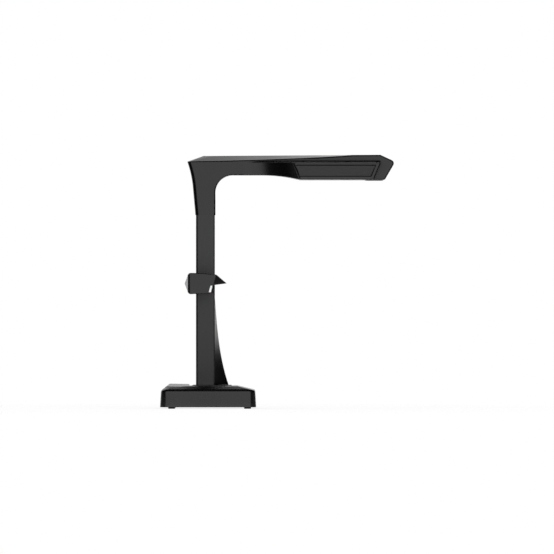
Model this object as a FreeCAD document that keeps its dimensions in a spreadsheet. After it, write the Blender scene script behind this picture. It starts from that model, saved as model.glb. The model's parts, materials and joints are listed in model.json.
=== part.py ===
import FreeCAD, Part

import math
import os
import re

import Sketcher
from FreeCAD import Placement, Rotation, Vector

# Overhead book scanner: a weighted base, an upright column, an arm that bends forward
# over the desk, and a wide head with the camera. A lamp bar slides on the column.
# Frame: origin on the desk under the centre of the base, +Z up, front towards -Y.
# "Forward" below is the distance from the base's centre towards the front (-Y).

SIZES = [
    # base
    ("base_width", 170.0),
    ("base_depth", 141.2),
    ("base_corner", 10.0),
    ("base_floor", 2.26),          # height of the housing's lower edge above the desk
    ("base_rim", 28.6),            # height where the wall's rounded edge ends
    ("base_top", 33.4),            # height of the flat centre of the top
    ("base_draft", 3.3),
    ("base_edge_round", 4.0),
    ("base_bevel_angle", 29.0),    # slope of the bevel at the sides and the rear
    ("apron_start", 42.5),         # the slope at the front of the top
    ("apron_angle", 13.6),
    ("rear_fall_start", 28.1),     # the slower slope at its rear
    ("rear_fall_angle", 3.6),
    ("base_wall", 2.6),
    ("base_lean", 0.9),            # room that the drafted wall takes inside
    ("foot_radius", 5.3),
    ("foot_inset_side", 17.0),
    ("foot_inset_front", 12.6),
    ("foot_inset_rear", 17.1),
    ("bottom_thick", 2.4),
    ("base_screw_inset", 9.0),
    ("base_screw_pitch", 84.0),
    ("ballast_inset", 13.0),
    ("ballast_thick", 8.0),
    ("bracket_width", 48.0),
    ("bracket_thick", 3.0),
    ("bracket_wall", 2.5),
    ("bracket_depth", 11.0),
    ("fit_gap", 0.2),              # clearance between pieces that don't move
    ("run_gap", 0.35),             # clearance between pieces that do move
    ("pin_gap", 0.05),             # radial clearance of a pin in its bore
    # sockets in the rear wall
    ("panel_width", 104.0),
    ("panel_thick", 1.4),
    ("window_width", 98.0),
    ("window_height", 13.5),
    ("socket_lift", 4.34),         # height of the board's top above the bottom cover
    ("socket_room", 44.6),
    ("board_thick", 1.6),
    ("switch_x", 38.0),
    ("switch_width", 16.0),
    ("power_x", -37.5),
    ("power_width", 9.0),
    ("computer_x", -20.0),
    ("computer_width", 12.0),
    ("device_x", 0.0),
    ("device_width", 14.0),
    ("device_rise", 7.0),
    ("pedal_x", 18.0),
    ("pedal_width", 9.0),
    ("pedal_radius", 4.0),
    ("pedal_rise", 5.0),
    ("socket_rise", 11.0),
    ("rocker_pin", 1.2),
    # rear cover and collar
    ("hump_width", 102.0),
    ("hump_rise", 2.8),
    ("hump_inset", 6.7),
    ("hump_slope", 6.9),
    ("hump_gap", 10.0),
    ("collar_height", 1.3),
    ("collar_rim", 5.4),
    # column
    ("column_width", 51.0),
    ("column_front", 9.6),
    ("column_rear", 18.1),
    ("column_sink", 9.4),
    ("column_top", 284.9),
    ("column_wall", 2.0),
    ("column_round_front", 1.6),
    ("column_round_rear", 3.4),
    ("core_width", 24.0),
    ("core_thick", 8.0),
    ("core_front", -1.5),
    ("core_rise", 65.1),
    ("prow_height", 134.5),
    ("prow_reach", 21.9),          # how far the prow's foot stands out from the column
    ("prow_sink", 2.4),
    # elbow and arm, with heights above the column's top
    ("arm_step", 0.5),
    ("arm_wall", 2.4),
    ("elbow_step_front", 0.85),
    ("elbow_step_rear", 0.9),
    ("elbow_bend", 4.5),
    ("elbow_bend_rise", 40.0),
    ("elbow_rear_arc", 159.0),
    ("elbow_inner_arc", 25.5),
    ("arm_under_rise", 58.5),
    ("arm_under_end", 79.1),       # where the underside starts to dip to the head
    ("arm_dip_arc", 233.0),
    ("head_under_start", 135.0),
    ("head_rise", 51.7),
    ("arm_back", 30.9),
    ("arm_back_rise", 78.6),
    ("hip_front", 7.2),
    ("roof_rear_rise", 87.15),
    ("roof_rise", 88.75),
    ("roof_end", 253.6),
    ("ridge_half", 7.0),
    ("roof_flat_start", 214.0),
    ("hair", 0.02),
    ("roof_edge_rise", 79.2),      # the roof's side edge over the column
    ("nose_tip", 275.6),
    ("nose_tip_rise", 78.5),
    ("nose_foot", 260.1),
    ("nose_round", 5.25),
    ("beam_thick", 6.0),
    ("beam_front", 150.0),
    ("ribbon_width", 14.0),
    ("ribbon_thick", 0.6),
    ("ribbon_bend", 10.0),
    ("ribbon_front", 160.0),
    # head
    ("head_width", 130.0),
    ("wing_rise", 77.9),
    ("wing_wall", 2.2),
    ("flare_start", 52.0),
    ("wing_rear_top", 124.1),
    ("wing_rear_foot", 134.8),
    ("wing_front_top", 253.8),
    ("wing_front_foot", 243.0),
    ("wing_corner", 7.0),
    ("wing_blend", 8.0),
    ("bezel_thick", 6.0),
    ("bezel_facet_run", 4.2),
    ("bezel_facet_depth", 2.4),
    ("bezel_heel_run", 3.0),       # the narrow slope at the bezel's rear edge
    ("bezel_heel_depth", 1.5),
    ("bezel_sink", 0.8),           # how far the bezel stays below the wing's top
    ("bezel_lift", 0.7),           # and above its underside
    ("bezel_lip", 4.6),            # above and below the panel
    ("bezel_lip_rear", 5.2),
    ("bezel_lip_front", 7.7),
    ("bezel_lip_toe", 4.0),
    ("panel_plate_thick", 1.2),
    ("panel_plate_sink", 0.4),
    ("rib_pitch", 2.95),
    ("rib_groove", 1.1),
    ("rib_depth", 0.3),
    ("rib_lean", 0.46),            # run forward for each millimetre up
    ("cover_thick", 2.2),
    ("led_length", 78.0),
    ("led_width", 20.0),
    ("led_rear", 150.0),
    ("led_inset", 4.8),
    ("led_lift", 6.0),
    ("post_radius", 2.2),
    ("camera_forward", 244.5),
    ("camera_ring", 13.0),
    ("lens_radius", 9.0),
    ("camera_lift", 18.0),
    ("laser_forward", 218.0),
    ("laser_pitch", 12.0),
    ("laser_radius", 3.0),
    ("main_board_rear", 156.0),
    ("main_board_length", 70.0),
    ("main_board_lift", 15.4),
    ("button_radius", 4.5),
    ("button_length", 6.0),
    ("button_side", 12.0),
    ("button_forward", 263.0),
    ("display_width", 40.0),
    ("display_rear", 222.0),
    ("display_length", 28.0),
    ("display_thick", 1.1),
    # lamp bar, with heights above its lower edge
    ("lamp_width", 170.0),
    ("lamp_foot", 168.4),
    ("lamp_height", 31.2),
    ("lamp_back", 29.9),
    ("lamp_ridge", 34.8),
    ("lamp_rim", 4.0),
    ("lamp_back_round", 3.4),
    ("lamp_face", 11.9),
    ("lamp_face_rise", 28.7),
    ("lamp_top_arc", 300.0),
    ("lamp_root", 7.6),
    ("lamp_root_rise", 13.1),
    ("lamp_wall", 2.4),
    ("hood_tip", 27.0),
    ("hood_tip_rise", 15.7),
    ("hood_cut", 17.0),
    ("clamp_thick", 1.5),
    ("clamp_inset", 1.6),
    ("strip_rear", 3.5),
    ("strip_lean", 2.8),
    ("strip_thick", 2.9),
    ("strip_gap", 0.3),
    ("lamp_lip", 2.6),
    ("lamp_lip_front", 4.2),
    ("lamp_board_setback", 9.6),
    ("lamp_post", 8.7),
    ("lamp_screw_x", 29.0),
    ("lamp_screw_edge", 4.6),
    ("lamp_screw_length", 12.0),
    ("lamp_screw_head", 2.1),
    ("lamp_screw_sink", 0.6),
    ("lamp_screw_radius", 1.1),
    ("lamp_button_radius", 4.0),
    ("lamp_button_x", 52.0),
    ("lamp_button_rear", 10.0),
    ("lamp_button_length", 4.3),
]

# Places that follow from the sizes
DERIVED = {
    "base_inside_width": "base_width - 2 * base_wall - 2 * base_lean",
    "base_inside_depth": "base_depth - 2 * base_wall - 2 * base_lean",
    "base_lean_top": "(base_rim - base_floor) * tan(base_draft)",
    "bevel_foot": "base_rim - base_edge_round * (1 - cos(base_bevel_angle))",
    "bevel_foot_inset": "base_lean_top + base_edge_round * (1 - sin(base_bevel_angle))",
    "bevel_run": "(base_top - bevel_foot) / tan(base_bevel_angle)",
    "base_roof_under": "base_rim - base_wall",
    "bottom_top": "base_floor + bottom_thick",
    "ballast_top": "bottom_top + ballast_thick",
    "ballast_rear": "base_depth / 2 - socket_room",
    "foot_side": "base_width / 2 - foot_inset_side",
    "foot_front": "base_depth / 2 - foot_inset_front",
    "foot_rear": "base_depth / 2 - foot_inset_rear",
    "base_screw_x": "base_width / 2 - base_screw_inset",
    "panel_face": "base_inside_depth / 2",
    "board_top": "bottom_top + socket_lift",
    "column_foot": "base_top - column_sink",
    "prow_foot": "base_top - prow_sink",
    "core_foot": "ballast_top + bracket_thick",
    "beam_foot": "column_top + core_rise",
    "arm_width": "column_width + 2 * arm_step",
    "elbow_front": "column_front + elbow_step_front",
    "elbow_rear": "column_rear + elbow_step_rear",
    "elbow_bend_height": "column_top + elbow_bend_rise",
    "arm_under": "column_top + arm_under_rise",
    "head_under": "column_top + head_rise",
    "arm_back_top": "column_top + arm_back_rise",
    "roof_rear": "column_top + roof_rear_rise",
    "roof_front": "column_top + roof_rise",
    "roof_edge_rear": "column_top + roof_edge_rise",
    "nose_tip_height": "column_top + nose_tip_rise",
    "wing_top": "column_top + wing_rise",
    "wing_reach": "head_width / 2 - bezel_thick",
    "bezel_top": "wing_top - bezel_sink",
    "bezel_foot": "head_under + bezel_lift",
    "gate_rear": "wing_rear_foot + wing_wall",
    "gate_front": "wing_front_foot - wing_wall",
    "led_side": "wing_reach - wing_wall - led_inset - led_width / 2",
    "head_screw_x": "led_side - led_width / 2 - 6",
    "display_front": "display_rear + display_length",
    "main_board_height": "head_under + main_board_lift",
    "lamp_top": "lamp_foot + lamp_height",
    "lamp_face_top": "lamp_foot + lamp_face_rise",
    "lamp_root_height": "lamp_foot + lamp_root_rise",
    "hood_tip_height": "lamp_foot + hood_tip_rise",
    "clamp_foot": "lamp_foot + clamp_inset",
    "clamp_top": "lamp_face_top - 0.1",
    "lamp_inner": "column_width / 2 + run_gap + clamp_thick",
}

doc = FreeCAD.newDocument("BookScanner")
sheet = doc.addObject("Spreadsheet::Sheet", "Sizes")
for row, (alias, number) in enumerate(SIZES, 1):
    sheet.set(f"A{row}", str(number))
    sheet.setAlias(f"A{row}", alias)
doc.recompute()

WORD = re.compile(r"[a-z][a-z_]*")
names = {alias for alias, number in SIZES}
pieces = []


# Helpers for sizes and sketches

def written_out(text):
    """The text with each derived place replaced by what it is made of."""
    while any(word in DERIVED for word in WORD.findall(text)):
        text = WORD.sub(lambda m: f"({DERIVED[m[0]]})" if m[0] in DERIVED else m[0], text)
    return text


def bound(text):
    """An expression of sizes and derived places, ready for setExpression."""
    return WORD.sub(lambda m: "Sizes." + m[0] if m[0] in names else m[0], written_out(text))


def value(text):
    """The number that an expression of sizes and derived places gives."""
    return float(sheet.evalExpression(written_out(text)))


def fix(item, field, text):
    """Binds one property to the sheet."""
    item.setExpression(field, bound(text))


def keep(item, label):
    """Names a finished piece."""
    item.Label = label
    pieces.append(item)
    return item


def new_body(label):
    return keep(doc.addObject("PartDesign::Body", label), label)


def new_sketch(body, role, offset="0"):
    """A sketch on one of the body's own planes, shifted along the plane's normal."""
    sketch = body.newObject("Sketcher::SketchObject", body.Label + "_sketch")
    plane = next(f for f in body.Origin.OriginFeatures if f.Role == role)
    sketch.AttachmentSupport = [(plane, "")]
    sketch.MapMode = "FlatFace"
    fix(sketch, "AttachmentOffset.Base.z", offset)
    return sketch


def arc_between(start, end, radius, left):
    """The short arc from start to end that bends to the left or to the right."""
    chord = end - start
    reach = math.sqrt(radius**2 - (chord.Length / 2) ** 2)
    normal = Vector(-chord.y, chord.x, 0).normalize()
    centre = (start + end) / 2 + normal * (reach if left else -reach)
    circle = Part.Circle(centre, Vector(0, 0, 1), radius)
    first, last = (start, end) if left else (end, start)
    angles = [math.atan2(p.y - centre.y, p.x - centre.x) for p in (first, last)]
    return Part.ArcOfCircle(circle, *angles)


def outline(sketch, corners, flip=False):
    """A closed outline. A corner is (x, y), or (x, y, radius, "left" or "right") where the
    side that starts there is an arc. flip mirrors the outline, x to -x."""
    first = sketch.GeometryCount
    count = len(corners)
    sign = -1 if flip else 1
    places = [Vector(sign * value(c[0]), value(c[1]), 0) for c in corners]
    starts = []
    for i, corner in enumerate(corners):
        ends = places[i], places[(i + 1) % count]
        if len(corner) == 2:
            sketch.addGeometry(Part.LineSegment(*ends))
            starts.append((1, 2))
            continue
        left = (corner[3] == "left") != flip
        sketch.addGeometry(arc_between(*ends, value(corner[2]), left))
        starts.append((1, 2) if left else (2, 1))
    for i, corner in enumerate(corners):
        side, after = first + i, first + (i + 1) % count
        sketch.addConstraint(
            Sketcher.Constraint("Coincident", side, starts[i][1], after, starts[(i + 1) % count][0])
        )
        for kind, spot, text in (
            ("DistanceX", places[i].x, f"-({corner[0]})" if flip else corner[0]),
            ("DistanceY", places[i].y, corner[1]),
        ):
            rule = Sketcher.Constraint(kind, -1, 1, side, starts[i][0], spot)
            sketch.setExpression(f"Constraints[{sketch.addConstraint(rule)}]", bound(text))
        if len(corner) > 2:
            rule = Sketcher.Constraint("Radius", side, value(corner[2]))
            sketch.setExpression(f"Constraints[{sketch.addConstraint(rule)}]", bound(corner[2]))
    return sketch


def side_outline(sketch, corners):
    """An outline seen from the side: corners as (forward, height)."""
    return outline(sketch, corners, flip=True)


def plan_outline(sketch, corners, flip=False):
    """An outline seen from above: corners as (x, forward)."""
    turned = [(c[0], f"-({c[1]})") + c[2:3] + tuple(opposite(t) for t in c[3:]) for c in corners]
    return outline(sketch, turned, flip)


def opposite(turn):
    return "right" if turn == "left" else "left"


def rectangle(sketch, x_low, x_high, y_low, y_high):
    corners = [(x_low, y_low), (x_high, y_low), (x_high, y_high), (x_low, y_high)]
    return outline(sketch, corners)


def round_rectangle(sketch, half_x, half_y, radius):
    x, y, r = f"({half_x})", f"({half_y})", f"({radius})"
    corners = [
        (f"-{x} + {r}", f"-{y}"),
        (f"{x} - {r}", f"-{y}", r, "left"),
        (x, f"-{y} + {r}"),
        (x, f"{y} - {r}", r, "left"),
        (f"{x} - {r}", y),
        (f"-{x} + {r}", y, r, "left"),
        (f"-{x}", f"{y} - {r}"),
        (f"-{x}", f"-{y} + {r}", r, "left"),
    ]
    return outline(sketch, corners)


def hole_circle(sketch, x, y, radius):
    """A circle whose centre and radius come from the sheet."""
    place = Vector(value(x), value(y), 0)
    index = sketch.addGeometry(Part.Circle(place, Vector(0, 0, 1), value(radius)))
    for rule, text in (
        (Sketcher.Constraint("DistanceX", -1, 1, index, 3, place.x), x),
        (Sketcher.Constraint("DistanceY", -1, 1, index, 3, place.y), y),
        (Sketcher.Constraint("Radius", index, value(radius)), radius),
    ):
        sketch.setExpression(f"Constraints[{sketch.addConstraint(rule)}]", bound(text))
    return sketch


# Helpers for features

def pad(body, sketch, length, both=False, back=False, draft="0"):
    feature = body.newObject("PartDesign::Pad", body.Label + "_pad")
    feature.Profile = sketch
    fix(feature, "Length", length)
    fix(feature, "TaperAngle", draft)
    feature.Midplane = both
    feature.Reversed = back
    doc.recompute()
    return feature


def pocket(body, sketch, depth, both=False, back=False):
    """Removes material, and stops if it removed none."""
    before = body.Shape.Volume
    feature = body.newObject("PartDesign::Pocket", body.Label + "_pocket")
    feature.Profile = sketch
    fix(feature, "Length", depth)
    feature.Midplane = both
    feature.Reversed = back
    doc.recompute()
    if body.Shape.Volume > before - 0.01:
        raise RuntimeError(f"a pocket of {body.Label} removes nothing")
    return feature


def loft(body, kind, sketches, ruled=True):
    feature = body.newObject(f"PartDesign::{kind}Loft", f"{body.Label}_loft")
    feature.Profile = sketches[0]
    feature.Sections = sketches[1:]
    feature.Ruled = ruled
    doc.recompute()
    return feature


def round_edges(body, radius, test):
    """Rounds the edges of the body that pass the test."""
    base = body.Tip
    picked = [f"Edge{i}" for i, edge in enumerate(base.Shape.Edges, 1) if test(edge)]
    if not picked:
        raise RuntimeError(f"no edge of {body.Label} fits the fillet")
    feature = body.newObject("PartDesign::Fillet", body.Label + "_fillet")
    feature.Base = (base, picked)
    fix(feature, "Radius", radius)
    doc.recompute()
    return feature


def runs_along(edge, axis):
    """Is the edge straight, and parallel to the axis?"""
    if edge.Curve.TypeId != "Part::GeomLine":
        return False
    return abs(abs(edge.tangentAt(edge.FirstParameter).dot(axis)) - 1) < 1e-6


def at(edge, forward=None, height=None, side=None, slack=0.3):
    """Is the edge's middle at this place?"""
    centre = edge.CenterOfMass
    wanted = ((forward, -centre.y), (height, centre.z), (side, abs(centre.x)))
    return all(text is None or abs(value(text) - found) < slack for text, found in wanted)


ACROSS, UP = Vector(1, 0, 0), Vector(0, 0, 1)
WIDE = "400"


def block(label, x, forward, height, finished=True):
    """A box from three (low, high) pairs of expressions."""
    item = doc.addObject("Part::Box", label)
    fix(item, "Length", f"{x[1]} - ({x[0]})")
    fix(item, "Width", f"{forward[1]} - ({forward[0]})")
    fix(item, "Height", f"{height[1]} - ({height[0]})")
    fix(item, "Placement.Base.x", x[0])
    fix(item, "Placement.Base.y", f"-({forward[1]})")
    fix(item, "Placement.Base.z", height[0])
    return keep(item, label) if finished else item


def rod(label, radius, length, x, forward, height, lean="0", finished=True):
    """A cylinder from a foot point. lean tips it forward, 90 lays it towards the front."""
    item = doc.addObject("Part::Cylinder", label)
    fix(item, "Radius", radius)
    fix(item, "Height", length)
    item.Placement = Placement(Vector(), Rotation(ACROSS, 1))
    fix(item, "Placement.Rotation.Angle", lean)
    fix(item, "Placement.Base.x", x)
    fix(item, "Placement.Base.y", f"-({forward})")
    fix(item, "Placement.Base.z", height)
    return keep(item, label) if finished else item


def joined(label, items):
    item = doc.addObject("Part::MultiFuse", label)
    item.Shapes = items
    doc.recompute()
    return item


def less(label, base, tools):
    """A base with tools cut from it, as a finished piece."""
    item = doc.addObject("Part::Cut", label)
    item.Base = base
    item.Tool = tools[0] if len(tools) == 1 else joined(label + "_cutters", tools)
    doc.recompute()
    return keep(item, label)


def screws(label, head, shank, spots, lean="0"):
    """Pan-head screws as one group. head and shank are (radius, length); a spot is the
    underside of the head, and the shank runs against the screw's own direction."""
    group = []
    for number, spot in enumerate(spots, 1):
        top = rod(f"{label}_head_{number}", *head, *spot, lean, finished=False)
        foot = rod(f"{label}_shank_{number}", *shank, *spot, f"{lean} + 180", finished=False)
        group.append(joined(f"{label}_{number}", [top, foot]))
    item = doc.addObject("Part::Compound", label)
    item.Links = group
    doc.recompute()
    return keep(item, label)


SIDES = (("left", "-1"), ("right", "1"))


# Base

def make_base_shell():
    body = new_body("base_shell")
    half_x, half_y = "base_width / 2", "base_depth / 2"
    foot = new_sketch(body, "XY_Plane", "base_floor")
    round_rectangle(foot, half_x, half_y, "base_corner")
    pad(body, foot, "base_rim - base_floor", draft="-base_draft")
    rim = value("base_rim")
    round_edges(body, "base_edge_round", lambda e: abs(e.BoundBox.ZMin - rim) < 0.01)
    # the bevel leaves the rounded edge where both have the same slope
    levels = []
    for height, inset in (
        ("bevel_foot", "bevel_foot_inset + 0.03"), ("base_top", "bevel_foot_inset + bevel_run"),
    ):
        level = new_sketch(body, "XY_Plane", height)
        round_rectangle(level, f"{half_x} - ({inset})", f"{half_y} - ({inset})",
                        "base_corner - base_edge_round")
        levels.append(level)
    loft(body, "Additive", levels)
    end = f"({half_y} + 2)"
    for name, sign in (("apron", ""), ("rear_fall", "-")):
        slope = new_sketch(body, "YZ_Plane")
        drop = f"({end} - {name}_start) * tan({name}_angle)"
        side_outline(slope, [
            (f"{sign}{name}_start", "base_top"), (f"{sign}{end}", f"base_top - {drop}"),
            (f"{sign}{end}", "base_top + 5"), (f"{sign}{name}_start", "base_top + 5"),
        ])
        pocket(body, slope, "base_width + 10", both=True)
    hollow = new_sketch(body, "XY_Plane", "base_floor")
    round_rectangle(hollow, "base_inside_width / 2", "base_inside_depth / 2", "base_corner - base_wall")
    pocket(body, hollow, "base_roof_under - base_floor", back=True)
    # the opening that the column and the prow stand in
    well = new_sketch(body, "XY_Plane", "base_top + 1")
    plan_outline(well, well_corners("fit_gap"))
    pocket(body, well, "base_top + 1 - base_roof_under + 5")
    # the window for the sockets in the rear wall
    window = new_sketch(body, "XZ_Plane", "-base_depth / 2 + base_wall + 3")
    rectangle(window, "-window_width / 2", "window_width / 2", "board_top - 1.5",
              "board_top - 1.5 + window_height")
    pocket(body, window, "base_wall + 8")
    # posts for the screws of the bottom cover
    posts = new_sketch(body, "XY_Plane", "bottom_top")
    for x, y in BASE_SCREWS:
        hole_circle(posts, x, y, "4")
        hole_circle(posts, x, y, "1.3 + pin_gap")
    pad(body, posts, "base_roof_under - bottom_top + 0.5")
    return body


BASE_SCREWS = [
    (x, y) for x in ("-base_screw_x", "base_screw_x")
    for y in ("-base_screw_pitch / 2", "base_screw_pitch / 2")
]


def well_corners(gap):
    """The column's and the prow's outline where they enter the base, with a gap."""
    return [
        (f"-column_width / 2 - {gap}", f"-column_rear - {gap}"),
        (f"-column_width / 2 - {gap}", f"column_front + {gap}"),
        ("0", f"column_front + prow_reach + {gap}"),
        (f"column_width / 2 + {gap}", f"column_front + {gap}"),
        (f"column_width / 2 + {gap}", f"-column_rear - {gap}"),
    ]


def make_base_inside():
    body = new_body("base_bottom")
    plate = new_sketch(body, "XY_Plane", "base_floor")
    round_rectangle(plate, "base_inside_width / 2 - fit_gap", "base_inside_depth / 2 - fit_gap",
                    "base_corner - base_wall")
    for x, y in BASE_SCREWS:
        hole_circle(plate, x, y, "1.6")
    pad(body, plate, "bottom_thick")
    sinks = new_sketch(body, "XY_Plane", "base_floor")
    for x, y in BASE_SCREWS:
        hole_circle(sinks, x, y, "3")
    pocket(body, sinks, "bottom_thick / 2", back=True)
    posts = new_sketch(body, "XY_Plane", "bottom_top")
    for x in ("-40", "20"):
        for depth in ("6", "28"):
            hole_circle(posts, x, f"panel_face - {depth}", "post_radius")
    pad(body, posts, "socket_lift - board_thick")

    for end, forward in (("front", "foot_front"), ("rear", "-foot_rear")):
        for side, sign in SIDES:
            foot = new_body(f"foot_{end}_{side}")
            ring = new_sketch(foot, "XY_Plane", "0")
            hole_circle(ring, f"{sign} * foot_side", f"-({forward})", "foot_radius")
            pad(foot, ring, "base_floor")
            round_edges(foot, "0.6", lambda e: e.BoundBox.ZMax < 0.01 and e.Length > 5)

    screws("base_screws", ("2.6", "1.1"), ("1.3", "9"),
           [(x, y, "base_floor + bottom_thick / 2") for x, y in BASE_SCREWS], "180")

    ballast = new_body("ballast_plate")
    steel = new_sketch(ballast, "XY_Plane", "bottom_top")
    rectangle(steel, "-base_width / 2 + ballast_inset", "base_width / 2 - ballast_inset",
              "-base_depth / 2 + ballast_inset", "ballast_rear")
    pad(ballast, steel, "ballast_thick")
    bracket = new_body("column_bracket")
    foot = new_sketch(bracket, "XY_Plane", "ballast_top")
    rectangle(foot, "-bracket_width / 2", "bracket_width / 2", "-column_front - 8", "column_rear + 4")
    pad(bracket, foot, "bracket_thick")
    socket = new_sketch(bracket, "XY_Plane", "core_foot - 1")
    core_outline(socket, "bracket_wall")
    pad(bracket, socket, "bracket_depth + 1")
    inside = new_sketch(bracket, "XY_Plane", "core_foot + bracket_depth")
    core_outline(inside, "pin_gap")
    pocket(bracket, inside, "bracket_depth")


def core_outline(sketch, grow):
    """The column core's section, larger all round."""
    rectangle(sketch, f"-core_width / 2 - {grow}", f"core_width / 2 + {grow}",
              f"-core_front - {grow}", f"-core_front + core_thick + {grow}")


# The sockets stand on a board behind a panel, which closes the window in the rear wall.
# "depth" is the distance forward of the panel's rear face.

def behind(depth):
    return f"{depth} - panel_face"


def above_board(rise):
    return f"board_top + {rise}"


def socket_block(label, width, depth, height):
    """A block of a socket from (low, high) pairs: across, behind the panel, above the board."""
    return block(label, width, (behind(depth[0]), behind(depth[1])),
                 (above_board(height[0]), above_board(height[1])), finished=False)


def bored(label, solid, tool):
    item = doc.addObject("Part::Cut", label)
    item.Base = solid
    item.Tool = tool
    return item


def across(name, inset="0"):
    """The lower and the higher x of one socket, or of a smaller or wider box on its middle."""
    half = f"({name}_width / 2 - ({inset}))"
    return f"{name}_x - {half}", f"{name}_x + {half}"


def make_sockets():
    panel = new_body("socket_panel")
    face = new_sketch(panel, "XZ_Plane", "-panel_face")
    rectangle(face, "-panel_width / 2", "panel_width / 2", "board_top - 3", "board_top + 13.5")
    for name, rise in (
        ("power", "socket_rise"), ("computer", "socket_rise"),
        ("device", "device_rise"), ("switch", "socket_rise"),
    ):
        rectangle(face, *across(name, "-fit_gap"), "board_top - fit_gap",
                  f"board_top + {rise} + fit_gap")
    hole_circle(face, "pedal_x", above_board("pedal_rise"), "pedal_radius + fit_gap")
    pad(panel, face, "panel_thick")

    board = ("power_x - power_width / 2 - 4", "pedal_x + pedal_width / 2 + 3.5")
    block("socket_board", board, (behind("2"), behind("34")),
          ("board_top - board_thick", "board_top"))

    shell = socket_block("power_socket_body", across("power"), ("0.2", "14"), ("0", "socket_rise"))
    bore = rod("power_socket_bore", "2.75", "10", "power_x", behind("-0.5"),
               above_board("socket_rise / 2"), "90", False)
    pin = rod("power_socket_pin", "1", "9.5", "power_x", behind("1.5"),
              above_board("socket_rise / 2"), "90", False)
    keep(joined("power_socket", [bored("power_socket_hollow", shell, bore), pin]), "power_socket")

    shell = socket_block("computer_port_body", across("computer"), ("0.2", "16"),
                         ("0", "socket_rise"))
    hollow = socket_block("computer_port_room", across("computer", "1.8"), ("-1", "10"),
                          ("1.6", "socket_rise - 1.6"))
    tongue = socket_block("computer_port_tongue", across("computer", "3.2"), ("1", "11"),
                          ("3.9", "7.1"))
    keep(joined("computer_port", [bored("computer_port_shell", shell, hollow), tongue]), "computer_port")

    shell = socket_block("device_port_body", across("device"), ("0.2", "15"), ("0", "device_rise"))
    hollow = socket_block("device_port_room", across("device", "0.7"), ("-1", "12"),
                          ("0.9", "device_rise - 0.9"))
    tongue = socket_block("device_port_tongue", across("device", "1.4"), ("1", "13"),
                          ("3.4", "5.3"))
    keep(joined("device_port", [bored("device_port_shell", shell, hollow), tongue]), "device_port")

    collar = rod("pedal_collar", "pedal_radius", "5", "pedal_x", behind("0.2"),
                 above_board("pedal_rise"), "90", False)
    shell = socket_block("pedal_body", across("pedal"), ("1.8", "14"), ("0", "2 * pedal_rise"))
    bore = rod("pedal_bore", "1.8", "12", "pedal_x", behind("-0.5"),
               above_board("pedal_rise"), "90", False)
    less("pedal_socket", joined("pedal_whole", [collar, shell]), [bore])
    make_power_switch()


def make_power_switch():
    frame = socket_block("switch_frame_box", across("switch"), ("0.2", "13"), ("0", "socket_rise"))
    flange = socket_block("switch_flange", across("switch", "-2"), ("panel_thick", "3"),
                          ("-1.4", "socket_rise + 1.4"))
    well = socket_block("switch_well", across("switch", "1"), ("-1", "8"), ("1", "socket_rise - 1"))
    hinge = rod("switch_bore", "rocker_pin + pin_gap", "11.4", "switch_x", behind("3.4"),
                above_board("-0.2"), finished=False)
    less("switch_frame", joined("switch_frame_whole", [frame, flange]), [well, hinge])

    # the rocker is pressed in at its left end, so it can tip to the other end
    rocker = new_body("power_rocker")
    shape = new_sketch(rocker, "XY_Plane", above_board("1.5"))
    plan_outline(shape, [
        ("switch_x - 5.8", behind("-0.9")),
        ("switch_x", behind("0.6")),
        ("switch_x + 5.8", behind("0.6")),
        ("switch_x + 5.8", behind("4.2")),
        ("switch_x", behind("5.8")),
        ("switch_x - 5.8", behind("4.2")),
    ])
    pad(rocker, shape, "8")
    shaft = new_sketch(rocker, "XY_Plane", above_board("0.2"))
    hole_circle(shaft, "switch_x", "panel_face - 3.4", "rocker_pin")
    pad(rocker, shaft, "10.6")


# Rear cover and collar on top of the base

def make_top_trim(base_shell):
    body = doc.addObject("PartDesign::Body", "rear_cover_blank")
    side = new_sketch(body, "YZ_Plane")
    front, rear = "-column_rear - hump_gap", "-base_depth / 2 + hump_inset"
    side_outline(side, [
        (front, "base_top - 6.4"), (front, "base_top + hump_rise - 0.6"),
        (f"{rear} + hump_slope", "base_top + hump_rise"),
        (rear, "base_top - 2.6"), (rear, "base_top - 6.4"),
    ])
    pad(body, side, "hump_width", both=True)
    for flip in (False, True):
        slope = new_sketch(body, "XZ_Plane")
        outline(slope, [
            ("hump_width / 4", "base_top + hump_rise + 0.2"),
            ("hump_width / 2 + 9", "base_top - 2.3"),
            ("hump_width / 2 + 9", "base_top + 8"), ("hump_width / 4", "base_top + 8"),
        ], flip)
        pocket(body, slope, WIDE, both=True)
    less("rear_cover", body, [base_shell])

    collar = new_body("column_collar")
    ring = new_sketch(collar, "XY_Plane", "base_top")
    plan_outline(ring, [
        ("-column_width / 2 - collar_rim", "-column_rear - collar_rim"),
        ("-column_width / 2 - collar_rim", "column_front + collar_rim"),
        ("-6", "column_front + prow_reach + 3.2"),
        ("6", "column_front + prow_reach + 3.2"),
        ("column_width / 2 + collar_rim", "column_front + collar_rim"),
        ("column_width / 2 + collar_rim", "-column_rear - collar_rim"),
    ])
    plan_outline(ring, well_corners("fit_gap"))
    pad(collar, ring, "collar_height")
    top = value("base_top + collar_height")
    round_edges(collar, "collar_height * 2 / 3", lambda e: abs(e.BoundBox.ZMin - top) < 0.01
                and not all(collar_hole_corner(v) for v in e.Vertexes))


def collar_hole_corner(vertex):
    """Is this a corner of the opening that the column stands in?"""
    places = [(value(x), -value(forward)) for x, forward in well_corners("fit_gap")]
    return any(math.hypot(vertex.X - x, vertex.Y - y) < 0.05 for x, y in places)


# Column

# shares of the prow's reach that grow with the drop, its square and its cube
PROW_CURVE = (0.44, -0.08, 0.64)


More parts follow.
